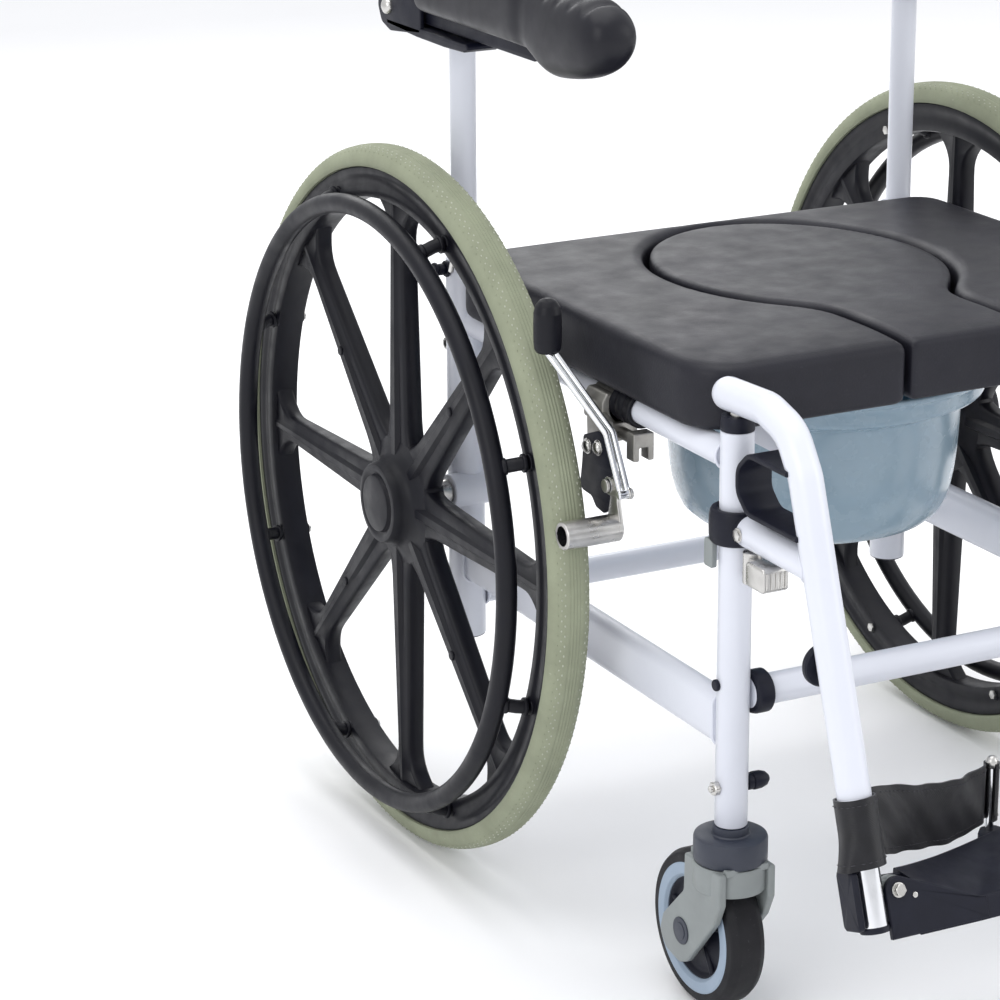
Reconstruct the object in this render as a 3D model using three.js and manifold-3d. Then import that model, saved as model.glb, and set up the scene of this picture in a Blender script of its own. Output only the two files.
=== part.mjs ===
// Self-propelled shower commode chair. Millimetres, +Z up, front of the chair towards -Y,
// the sitter's right side towards -X. Origin: centre of the footprint on the floor.
import * as THREE from 'three';
import { mergeVertices } from 'three/addons/utils/BufferGeometryUtils.js';
import { ConvexGeometry } from 'three/addons/geometries/ConvexGeometry.js';
import Module from 'manifold-3d';

const wasm = await Module();
wasm.setup();

// ---- driving dimensions -------------------------------------------------
const AXLE_Y = 173;            // rear axle line, from the footprint centre
const GAP = 0.3;               // clearance between neighbouring pieces

const WHEEL_R = 303;           // 24 in rear tyre, outside radius
const WHEEL_X = 280.5;         // wheel plane from the centre plane
const TYRE_HALF = 17.4;        // half width of the rear tyre
const HANDRIM_R = 256.7, HANDRIM_TUBE = 8.5, HANDRIM_X = 318;
const HUB_FACE_X = 311.5;
const AXLE_R = 6, AXLE_Z = 303;
const WSEG = 36;               // facets round the rear wheels

const POST_X = 221, POST_Y = -440, POST_R = 12.7;        // front posts (Y from the rear axle)
const POST_Z0 = 159.6, POST_Z1 = 473;
const REAR_X = 219, REAR_Y = 10, REAR_R = 16;            // rear posts
const REAR_Z0 = 168, REAR_Z1 = 505;
const RAIL_R = 11, RAIL_Z = 451;                         // upper side rails
const LOWER_Z = 241.5, LOWER_H = 43, LOWER_W = 20;       // lower oval side rails
const CROSS_R = 12, CROSS_Z = 264;

const SEAT_W = 475.6, SEAT_FRONT = -418, SEAT_BACK = -10;
const SEAT_Z0 = 463, SEAT_Z1 = 515, SEAT_CORNER = 40;
const KEY_CY = -170, KEY_A = 119, KEY_B = 144, KEY_NECK = 56;

const CANE_R = 11, CANE_TOP = 962, GRIP_R = 16;

const CASTER_R = 62.5, CASTER_TRAIL = 30, CASTER_HALF = 16;

const TUBE_R = 12.7;                                     // legrest hanger tube
const FOOT_DIR = new THREE.Vector3(0, -0.3226, -0.9465).normalize();   // slope of the drop tube

const BUCKET_Y = -197;

// ---- colours -------------------------------------------------------------
const WHITE = { color: 0xe6ebf7, roughness: 0.35, metalness: 0.0 };
const BLACK = { color: 0x2b2b36, roughness: 0.5, metalness: 0.0 };
const NAVY = { color: 0x2a2c3c, roughness: 0.55, metalness: 0.0 };
const TYRE = { color: 0x9aa587, roughness: 0.85, metalness: 0.0 };
const SEATC = { color: 0x3a3a46, roughness: 0.6, metalness: 0.0 };
const PAIL = { color: 0x8aa7bd, roughness: 0.3, metalness: 0.0 };
const GREY = { color: 0x93a3a5, roughness: 0.5, metalness: 0.0 };
const STEEL = { color: 0xc9cdd2, roughness: 0.25, metalness: 1.0 };
const CAST = { color: 0x9d9c9a, roughness: 0.5, metalness: 0.8 };
const SATIN = { color: 0x1c1c22, roughness: 0.45, metalness: 0.0 };

// ---- solid helpers ---------------------------------------------------------
const V = (x, y, z) => new THREE.Vector3(x, y, z);

function solid(geometry) {
  let g = geometry.clone();
  for (const name of Object.keys(g.attributes)) if (name !== 'position') g.deleteAttribute(name);
  g = mergeVertices(g, 1e-3);
  const pos = g.attributes.position.array;
  const idx = g.index.array;
  const tri = [];
  for (let i = 0; i < idx.length; i += 3) {
    const [a, b, c] = [idx[i], idx[i + 1], idx[i + 2]];
    if (a !== b && b !== c && a !== c) tri.push(a, b, c);
  }
  let volume = 0;
  const p = new THREE.Vector3(), q = new THREE.Vector3(), r = new THREE.Vector3();
  for (let i = 0; i < tri.length; i += 3) {
    p.fromArray(pos, tri[i] * 3); q.fromArray(pos, tri[i + 1] * 3); r.fromArray(pos, tri[i + 2] * 3);
    volume += p.dot(q.cross(r));
  }
  if (volume < 0) for (let i = 0; i < tri.length; i += 3) [tri[i + 1], tri[i + 2]] = [tri[i + 2], tri[i + 1]];
  const mesh = new wasm.Mesh({ numProp: 3, vertProperties: new Float32Array(pos), triVerts: new Uint32Array(tri) });
  return new wasm.Manifold(mesh);
}

function geometryOf(m) {
  const out = m.getMesh();
  const g = new THREE.BufferGeometry();
  const n = out.vertProperties.length / out.numProp;
  const pos = new Float32Array(n * 3);
  for (let i = 0; i < n; i++) for (let k = 0; k < 3; k++) pos[i * 3 + k] = out.vertProperties[i * out.numProp + k];
  g.setAttribute('position', new THREE.BufferAttribute(pos, 3));
  g.setIndex(new THREE.BufferAttribute(new Uint32Array(out.triVerts), 1));
  return g;
}

// the same piece on the other side of the chair
function mirrored(geometry) {
  const g = geometry.clone();
  const p = g.attributes.position.array;
  for (let i = 0; i < p.length; i += 3) p[i] = -p[i];
  const t = g.index.array;
  for (let i = 0; i < t.length; i += 3) [t[i + 1], t[i + 2]] = [t[i + 2], t[i + 1]];
  return g;
}

const joined = (...parts) => parts.reduce((a, b) => a.add(b));

// cylinder from point a to point b
function rod(a, b, radius, sides = 16, radius2 = radius) {
  const d = b.clone().sub(a);
  const g = new THREE.CylinderGeometry(radius2, radius, d.length(), sides);
  g.applyQuaternion(new THREE.Quaternion().setFromUnitVectors(V(0, 1, 0), d.clone().normalize()));
  const mid = a.clone().add(b).multiplyScalar(0.5);
  g.translate(mid.x, mid.y, mid.z);
  return solid(g);
}
// radius of an n-sided bore whose flats stay clear of a shaft of radius r
const bored = (r, n, gap = GAP) => (r + gap) / Math.cos(Math.PI / n);
const rodX = (y, z, x0, x1, r, sides = 16) => rod(V(x0, y, z), V(x1, y, z), r, sides);
const rodY = (x, z, y0, y1, r, sides = 16) => rod(V(x, y0, z), V(x, y1, z), r, sides);
const rodZ = (x, y, z0, z1, r, sides = 16) => rod(V(x, y, z0), V(x, y, z1), r, sides);

function box(x0, x1, y0, y1, z0, z1) {
  const g = new THREE.BoxGeometry(Math.abs(x1 - x0), Math.abs(y1 - y0), Math.abs(z1 - z0));
  g.translate((x0 + x1) / 2, (y0 + y1) / 2, (z0 + z1) / 2);
  return solid(g);
}

// a path that keeps exactly the given points, with mitred sections
class Route extends THREE.Curve {
  constructor(points) { super(); this.points = points; }
  getUtoTmapping(u) { return u; }
  getPoint(t) {
    const n = this.points.length - 1;
    const s = Math.min(Math.max(t, 0), 1) * n;
    const i = Math.min(Math.floor(s + 1e-9), n - 1);
    return this.points[i].clone().lerp(this.points[i + 1], s - i);
  }
  getTangent(t) {
    const n = this.points.length - 1;
    const s = Math.min(Math.max(t, 0), 1) * n;
    const k = Math.round(s);
    if (Math.abs(s - k) < 1e-6 && k > 0 && k < n) {
      const a = this.points[k].clone().sub(this.points[k - 1]).normalize();
      const b = this.points[k + 1].clone().sub(this.points[k]).normalize();
      return a.add(b).normalize();
    }
    const i = Math.min(Math.floor(s), n - 1);
    return this.points[i + 1].clone().sub(this.points[i]).normalize();
  }
}

function ring(radius, sides) {
  const pts = [];
  for (let i = 0; i < sides; i++) pts.push(new THREE.Vector2(radius * Math.cos(2 * Math.PI * i / sides), radius * Math.sin(2 * Math.PI * i / sides)));
  return new THREE.Shape(pts);
}

function tube(points, radius, sides = 12) {
  const g = new THREE.ExtrudeGeometry(ring(radius, sides), { steps: points.length - 1, bevelEnabled: false, extrudePath: new Route(points) });
  return solid(g);
}

// rounded polyline: each inner corner becomes an arc-like run of n points
function bend(points, radius, n = 4) {
  const out = [points[0].clone()];
  for (let i = 1; i < points.length - 1; i++) {
    const p = points[i];
    const a = points[i - 1].clone().sub(p), b = points[i + 1].clone().sub(p);
    const half = a.angleTo(b) / 2;
    const reach = Math.min(radius / Math.tan(half), a.length() * 0.49, b.length() * 0.49);
    const s = p.clone().add(a.normalize().multiplyScalar(reach));
    const e = p.clone().add(b.normalize().multiplyScalar(reach));
    for (let k = 0; k <= n; k++) {
      const t = k / n;
      out.push(s.clone().multiplyScalar((1 - t) * (1 - t)).add(p.clone().multiplyScalar(2 * t * (1 - t))).add(e.clone().multiplyScalar(t * t)));
    }
  }
  out.push(points[points.length - 1].clone());
  return out;
}

const shape2 = (pts) => new THREE.Shape(pts.map(([a, b]) => new THREE.Vector2(a, b)));

// outline in (Y, Z), thickness from x0 to x1
function plateYZ(pts, x0, x1) {
  const g = new THREE.ExtrudeGeometry(shape2(pts), { depth: x1 - x0, bevelEnabled: false });
  g.applyMatrix4(new THREE.Matrix4().makeBasis(V(0, 1, 0), V(0, 0, 1), V(1, 0, 0)));
  g.translate(x0, 0, 0);
  return solid(g);
}

// outline in (X, Y), thickness from z0 to z1
function plateXY(pts, z0, z1, holes = []) {
  const s = shape2(pts);
  for (const h of holes) s.holes.push(new THREE.Path(h.map(([a, b]) => new THREE.Vector2(a, b))));
  const g = new THREE.ExtrudeGeometry(s, { depth: z1 - z0, bevelEnabled: false });
  g.translate(0, 0, z0);
  return solid(g);
}

// profile [radius, height] turned about Z / about X
function turnedZ(profile, x, y, segments) {
  const g = new THREE.LatheGeometry(profile.map(([r, z]) => new THREE.Vector2(r, z)), segments);
  g.rotateX(Math.PI / 2);
  g.translate(x, y, 0);
  return solid(g);
}
function turnedX(profile, y, z, segments) {
  const g = new THREE.LatheGeometry(profile.map(([r, x]) => new THREE.Vector2(r, x)), segments);
  g.rotateZ(-Math.PI / 2);
  g.translate(0, y, z);
  return solid(g);
}

function hull(points) { return solid(new ConvexGeometry(points)); }

// ---- assembly --------------------------------------------------------------
const chair = new THREE.Group();
const rear = new THREE.Group();       // everything is laid out from the rear axle line
rear.position.y = AXLE_Y;
chair.add(rear);

function put(name, m, look) {
  const g = m instanceof THREE.BufferGeometry ? m : geometryOf(m);
  const mesh = new THREE.Mesh(g, new THREE.MeshStandardMaterial(look));
  mesh.name = name;
  rear.add(mesh);
  return g;
}
// right piece is modelled, left piece is its mirror image
function pair(name, m, look) {
  const g = put(name + '_right', m, look);
  put(name + '_left', mirrored(g), look);
}

// ---- side frames (right side at -X) -----------------------------------------
const px = -POST_X, rx = -REAR_X;
const postSpace = rodZ(px, POST_Y, 0, 600, bored(POST_R, 20), 20);
const rearSpace = rodZ(rx, REAR_Y, 0, 600, bored(REAR_R, 20), 20);

// front post: bored below for the caster stem, above for the pivot bush
let post = rodZ(px, POST_Y, POST_Z0, POST_Z1, POST_R, 20)
  .subtract(rodZ(px, POST_Y, POST_Z0 - 5, 225, bored(8, 12), 12))
  .subtract(rodZ(px, POST_Y, 438, POST_Z1 + 5, bored(9, 12), 12));
pair('front_post', post, WHITE);

// bush that the hanger pin turns in
pair('front_post_bush', turnedZ([[bored(6, 12), 440], [9, 440], [9, POST_Z1 + GAP], [12.6, POST_Z1 + GAP], [12.2, 484.6], [bored(6, 12), 484.6], [bored(6, 12), 440]], px, POST_Y, 12), NAVY);

pair('upper_side_rail', tube([V(px, POST_Y + 2, RAIL_Z), V((px * 1.0), REAR_Y - 2, RAIL_Z)], RAIL_R, 16)
  .subtract(postSpace).subtract(rearSpace), WHITE);

const oval = [];
for (let i = 0; i < 16; i++) {
  const t = 2 * Math.PI * i / 16;
  const s = Math.sin(t), c = Math.cos(t);
  oval.push([px + LOWER_W / 2 * c, LOWER_Z + (LOWER_H / 2 - LOWER_W / 2) * Math.sign(s) * (Math.abs(s) > 0.01 ? 1 : 0) + LOWER_W / 2 * s]);
}
{
  const s = new THREE.Shape(oval.map(([a, b]) => new THREE.Vector2(a, b)));
  const g = new THREE.ExtrudeGeometry(s, { depth: REAR_Y - POST_Y, bevelEnabled: false });
  g.applyMatrix4(new THREE.Matrix4().makeBasis(V(1, 0, 0), V(0, 0, 1), V(0, -1, 0)));
  g.translate(0, REAR_Y, 0);
  pair('lower_side_rail', solid(g).subtract(postSpace).subtract(rearSpace), WHITE);
}

// rear post: socket for the cane above, welded axle boss
const boss = rodX(0, AXLE_Z, -241, -199, 15, 20);
let rearPost = rodZ(rx, REAR_Y, REAR_Z0, REAR_Z1, REAR_R, 20).add(boss)
  .subtract(rodZ(rx, REAR_Y, 385, REAR_Z1 + 5, bored(CANE_R, 14), 14))
  .subtract(rodX(0, AXLE_Z, -260, -180, bored(AXLE_R, 12), 12));
pair('rear_post', rearPost, WHITE);

// wheel axle with head, spacer and threaded end
pair('wheel_axle', joined(
  rodX(0, AXLE_Z, -303, -196, AXLE_R, 12),
  rodX(0, AXLE_Z, -258.6, -241.4, 11, 12),
  rodX(0, AXLE_Z, -198.6, -190, 10.5, 6)), STEEL);

// cross tubes
const crossSpace = postSpace.add(rodZ(-px, POST_Y, 0, 600, bored(POST_R, 20), 20));
put('front_cross_tube', joined(
  rodX(POST_Y, CROSS_Z, -POST_X + 4, POST_X - 4, CROSS_R, 12),
  rodX(POST_Y, CROSS_Z, -207.5, -193, 17, 12),
  rodX(POST_Y, CROSS_Z, 193, 207.5, 17, 12)).subtract(crossSpace)
  .subtract(box(-240, -210.7, POST_Y - 20, POST_Y + 30, 200, 263.4)).subtract(box(210.7, 240, POST_Y - 20, POST_Y + 30, 200, 263.4)), WHITE);
const rearCrossSpace = rearSpace.add(rodZ(-rx, REAR_Y, 0, 600, bored(REAR_R, 20), 20));
put('rear_lower_cross_tube', rodX(REAR_Y, 205, -REAR_X + 4, REAR_X - 4, CROSS_R, 12).subtract(rearCrossSpace), WHITE);
put('rear_upper_cross_tube', rodX(REAR_Y, 425, -REAR_X + 4, REAR_X - 4, CROSS_R, 12).subtract(rearCrossSpace), WHITE);

// canes with push handles
const caneRoute = bend([V(rx, REAR_Y, 387), V(rx, REAR_Y, CANE_TOP), V(rx, REAR_Y + 150, CANE_TOP)], 52, 4);
pair('back_cane', tube(caneRoute, CANE_R, 12), WHITE);
pair('push_grip', joined(
  rodY(rx, CANE_TOP, REAR_Y + 62, REAR_Y + 158, GRIP_R, 12),
  rodY(rx, CANE_TOP, REAR_Y + 60, REAR_Y + 68, GRIP_R + 3, 12))
  .subtract(rodY(rx, CANE_TOP, REAR_Y + 50, REAR_Y + 150.4, bored(CANE_R, 12), 12)), BLACK);

// padded back panel: two sleeves over the canes joined by the panel
{
  const z0 = 757, z1 = 903;
  let back = joined(
    rodZ(rx, REAR_Y, z0, z1, CANE_R + 5, 12),
    rodZ(-rx, REAR_Y, z0, z1, CANE_R + 5, 12),
    box(rx + 2, -rx - 2, REAR_Y - 15.5, REAR_Y + 6, z0, z1));
  back = back.subtract(rodZ(rx, REAR_Y, z0 - 5, z1 + 5, bored(CANE_R, 12, 0.6), 12)).subtract(rodZ(-rx, REAR_Y, z0 - 5, z1 + 5, bored(CANE_R, 12, 0.6), 12));
  put('backrest', back, SATIN);
}

// ---- seat with keyhole opening -----------------------------------------------
function roundedRect(x0, x1, y0, y1, rFront, rBack, n = 4) {
  const pts = [];
  const arc = (cx, cy, r, a0) => {
    for (let i = 0; i <= n; i++) {
      const a = a0 + (Math.PI / 2) * i / n;
      pts.push([cx + r * Math.cos(a), cy + r * Math.sin(a)]);
    }
  };
  arc(x1 - rBack, y1 - rBack, rBack, 0);
  arc(x0 + rBack, y1 - rBack, rBack, Math.PI / 2);
  arc(x0 + rFront, y0 + rFront, rFront, Math.PI);
  arc(x1 - rFront, y0 + rFront, rFront, 1.5 * Math.PI);
  return pts;
}
// keyhole outline grown by d, open past the front when front is given
function keyhole(d, front) {
  const a = KEY_A + d, b = KEY_B + d, neck = KEY_NECK + d;
  const right = [];
  for (let i = 0; i <= 10; i++) {
    const t = Math.PI / 2 - (Math.PI / 2 + 0.86) * i / 10;
    right.push([a * Math.cos(t), KEY_CY + b * Math.sin(t)]);
  }
  const [x1, y1] = right[right.length - 1];
  const y2 = y1 - 52;
  for (let i = 1; i <= 3; i++) {
    const t = i / 3;
    const e = t * t * (3 - 2 * t);
    right.push([x1 + (neck - x1) * (0.35 * e + 0.65 * Math.sin(t * Math.PI / 2)), y1 + (y2 - y1) * t]);
  }
  right.push([neck, front]);
  const left = right.slice(1).reverse().map(([x, y]) => [-x, y]);
  return right.concat(left);
}
{
  const w = SEAT_W / 2;
  const slab = (inset, z0, z1) => plateXY(roundedRect(-w + inset, w - inset, SEAT_FRONT + inset, SEAT_BACK - inset, SEAT_CORNER - inset, 25 - inset), z0, z1);
  const body = joined(slab(0, SEAT_Z0 + 9, SEAT_Z1 - 7), slab(4, SEAT_Z0 + 2, SEAT_Z1 - 2), slab(10, SEAT_Z0, SEAT_Z1));
  const through = plateXY(keyhole(-10, SEAT_FRONT - 60), SEAT_Z0 - 5, SEAT_Z1 + 5);
  const pocket = plateXY(keyhole(2.5, SEAT_FRONT - 60), SEAT_Z0 + 18, SEAT_Z1 + 5);
  const neckSlot = box(-KEY_NECK - 2.5, KEY_NECK + 2.5, SEAT_FRONT - 60, SEAT_FRONT + 16, SEAT_Z0 - 5, SEAT_Z1 + 5);
  put('seat', body.subtract(through).subtract(pocket).subtract(neckSlot), SEATC);

  const plugUpper = plateXY(keyhole(-2.5, SEAT_FRONT - 60), SEAT_Z0 + 18 + GAP, SEAT_Z1);
  const plugLower = plateXY(keyhole(-13, SEAT_FRONT - 60), SEAT_Z0 + 4, SEAT_Z0 + 30);
  const lip = box(-KEY_NECK + 2.5, KEY_NECK - 2.5, SEAT_FRONT, SEAT_FRONT + 13, SEAT_Z0 + 1, SEAT_Z0 + 30);
  const blank = joined(slab(0, SEAT_Z0 + 9, SEAT_Z1 - 7), slab(4, SEAT_Z0 + 2, SEAT_Z1 - 2), slab(10, SEAT_Z0, SEAT_Z1));
  put('keyhole_pad', joined(plugUpper, plugLower, lip).intersect(blank), SEATC);
}

// rails under the seat that carry the pail flange
{
  const y0 = -392, y1 = -20;
  const rail = (() => {
    const pts = [[-156, 431], [-145.5, 431], [-145.5, 433.3], [-153.5, 433.3], [-153.5, 459.5], [-88, 459.5], [-88, 462], [-156, 462]];
    const g = new THREE.ExtrudeGeometry(shape2(pts), { depth: y1 - y0, bevelEnabled: false });
    g.applyMatrix4(new THREE.Matrix4().makeBasis(V(1, 0, 0), V(0, 0, 1), V(0, -1, 0)));
    g.translate(0, y1, 0);
    return solid(g);
  })();
  // side arms that rest on the upper side rails
  const arm = (y) => box(-POST_X + 6, -150, y - 9, y + 9, 458.5, 462);
  const rest = rodY(px, RAIL_Z, -440, 20, bored(RAIL_R, 16), 16);
  pair('pail_rail', joined(rail, arm(-330), arm(-80)).subtract(rest), WHITE);
}

// ---- pail -------------------------------------------------------------------
const pailWall = turnedZ([[0, 303], [72, 303], [96, 308], [107, 315], [114, 328], [118, 345], [121, 370], [122, 411], [139, 419], [141, 420.5], [143.5, 432], [144.5, 434.4], [149, 435.8], [150, 441],
  [147, 441], [141.2, 437], [138.4, 423], [119.4, 414.5], [118.2, 370], [115.2, 346], [111.4, 330], [104.8, 318], [95, 311], [72, 306], [0, 306]], 0, BUCKET_Y, 30);
put('pail', pailWall, PAIL);

// ---- rear wheels -------------------------------------------------------------
{
  const X = -WHEEL_X;
  const tyre = turnedX([[WHEEL_R, X + 5], [WHEEL_R - 5, X + 13], [WHEEL_R - 15, X + TYRE_HALF], [285.2, X + 16.4], [285.2, X + 13.2],
    [276.2, X + 8.7], [276.2, X - 8.7], [285.2, X - 13.2], [285.2, X - 16.4], [WHEEL_R - 15, X - TYRE_HALF], [WHEEL_R - 5, X - 13], [WHEEL_R, X - 5], [WHEEL_R, X + 5]], 0, AXLE_Z, WSEG);
  pair('rear_tyre', tyre, TYRE);

  // moulded rim: rim band, spoke disc with eight windows, hub
  const band = turnedX([[262, X + 12], [284.6, X + 14], [275.4, X + 9.4], [275.4, X - 9.4], [284.6, X - 14], [262, X - 12], [262, X + 12]], 0, AXLE_Z, WSEG);
  const disc = new THREE.Shape(Array.from({ length: WSEG }, (_, i) => new THREE.Vector2(267 * Math.cos(2 * Math.PI * i / WSEG), 267 * Math.sin(2 * Math.PI * i / WSEG))));
  const W0 = 17, W1 = 10, R0 = 54, R1 = 258.5;
  const width = (r) => W0 + (W1 - W0) * (r - R0) / (R1 - R0);
  for (let k = 0; k < 8; k++) {
    const a0 = k * Math.PI / 4, a1 = a0 + Math.PI / 4;
    const polar = (r, a) => new THREE.Vector2(r * Math.cos(a), r * Math.sin(a));
    const edge0 = (r) => polar(r, a0 + Math.asin(width(r) / r));
    const edge1 = (r) => polar(r, a1 - Math.asin(width(r) / r));
    const pts = [edge0(R0 + 4), edge0(232)];
    const corner = (s, c, e) => { for (let i = 1; i <= 2; i++) { const t = i / 3; pts.push(new THREE.Vector2((1 - t) * (1 - t) * s.x + 2 * t * (1 - t) * c.x + t * t * e.x, (1 - t) * (1 - t) * s.y + 2 * t * (1 - t) * c.y + t * t * e.y)); } };
    const m0 = a0 + 0.155, m1 = a1 - 0.155;
    corner(edge0(232), edge0(R1), polar(R1, m0));
    for (let i = 0; i <= 3; i++) pts.push(polar(R1, m0 + (m1 - m0) * i / 3));
    corner(polar(R1, m1), edge1(R1), edge1(232));
    pts.push(edge1(232), edge1(R0 + 4));
    pts.push(polar(R0, (a0 + a1) / 2 + 0.012), polar(R0, (a0 + a1) / 2 - 0.012));
    disc.holes.push(new THREE.Path(pts));
  }
  const g = new THREE.ExtrudeGeometry(disc, { depth: 20, bevelEnabled: false });
  g.applyMatrix4(new THREE.Matrix4().makeBasis(V(0, 1, 0), V(0, 0, 1), V(1, 0, 0)));
  g.translate(X - 10, 0, AXLE_Z);
  const spokes = solid(g);
  const hub = turnedX([[0, -HUB_FACE_X], [24, -HUB_FACE_X], [25, -HUB_FACE_X + 2], [33.5, -HUB_FACE_X + 2], [38, X - 12], [56, X - 9], [56, X + 9], [36, X + 14], [34, X + 21.2], [0, X + 21.2]], 0, AXLE_Z, 20);
  const rim = joined(band, spokes, hub).subtract(rodX(0, AXLE_Z, -304, -250, bored(AXLE_R, 12), 12));
  pair('rear_rim', rim, BLACK);

  // push rim on eight stand-offs
  const hr = turnedX(Array.from({ length: 9 }, (_, i) => [HANDRIM_R + HANDRIM_TUBE * Math.cos(2 * Math.PI * i / 8), -HANDRIM_X + HANDRIM_TUBE * Math.sin(2 * Math.PI * i / 8)]), 0, AXLE_Z, WSEG);
  let hand = hr;
  for (let k = 0; k < 8; k++) {
    const a = Math.PI / 8 + k * Math.PI / 4;
    const r1 = 259, r2 = 269;
    hand = hand.add(rod(V(-HANDRIM_X + 2, r1 * Math.cos(a), AXLE_Z + r1 * Math.sin(a)), V(X - 13.6, r2 * Math.cos(a), AXLE_Z + r2 * Math.sin(a)), 6, 5));
  }
  const rimSpace = turnedX([[250, X + 30], [300, X + 30], [300, X - 14.4], [285.3, X - 14.4], [262, X - 12.4], [250, X - 12.4], [250, X + 30]], 0, AXLE_Z, WSEG);
  pair('push_rim', hand.subtract(rimSpace), BLACK);
}

// ---- front casters -------------------------------------------------------------
{
  const ay = POST_Y + CASTER_TRAIL, az = CASTER_R;
  const cap = turnedZ([[0, 131], [28.7, 131], [28.7, 150], [27, 152], [14, 152], [14, 159.2], [8, 159.2], [8, 222], [0, 222]], px, POST_Y, 16);
  const crown = turnedZ([[0, 112], [26, 112], [28.8, 116], [28.8, 131.5], [0, 131.5]], px, POST_Y, 16);
  const cheek = [[POST_Y - 26, 131], [POST_Y + 27, 131], [POST_Y + 28, 98], [ay + 29, 66], [ay + 34, 50], [ay + 24, 38], [ay + 3, 34], [ay - 8, 39], [POST_Y - 18, 86], [POST_Y - 26, 104]];
  const cheeks = plateYZ(cheek, px - 25, px - 18).add(plateYZ(cheek, px + 18, px + 25));
  const axle = rodX(ay, az, px - 29, px + 29, 6, 12).add(rodX(ay, az, px - 30, px - 25, 10, 12)).add(rodX(ay, az, px + 25, px + 30, 10, 12));
  const wheelSpace = rodX(ay, az, px - 18, px + 18, CASTER_R + 5, 20);
  pair('caster_fork', joined(cap, crown.add(plateYZ([[POST_Y - 26, 110], [POST_Y + 28, 110], [POST_Y + 28, 132], [POST_Y - 26, 132]], px - 25, px + 25)).add(cheeks).subtract(wheelSpace), axle), GREY);
  pair('caster_wheel', turnedX([[bored(6, 12), px - 16.5], [14, px - 16.5], [15, px - 12], [38, px - 12], [41, px - CASTER_HALF], [54, px - CASTER_HALF], [CASTER_R, px - 8],
    [CASTER_R, px + 8], [54, px + CASTER_HALF], [41, px + CASTER_HALF], [38, px + 12], [15, px + 12], [14, px + 16.5], [bored(6, 12), px + 16.5], [bored(6, 12), px - 16.5]], ay, az, 24), BLACK);
}

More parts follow.
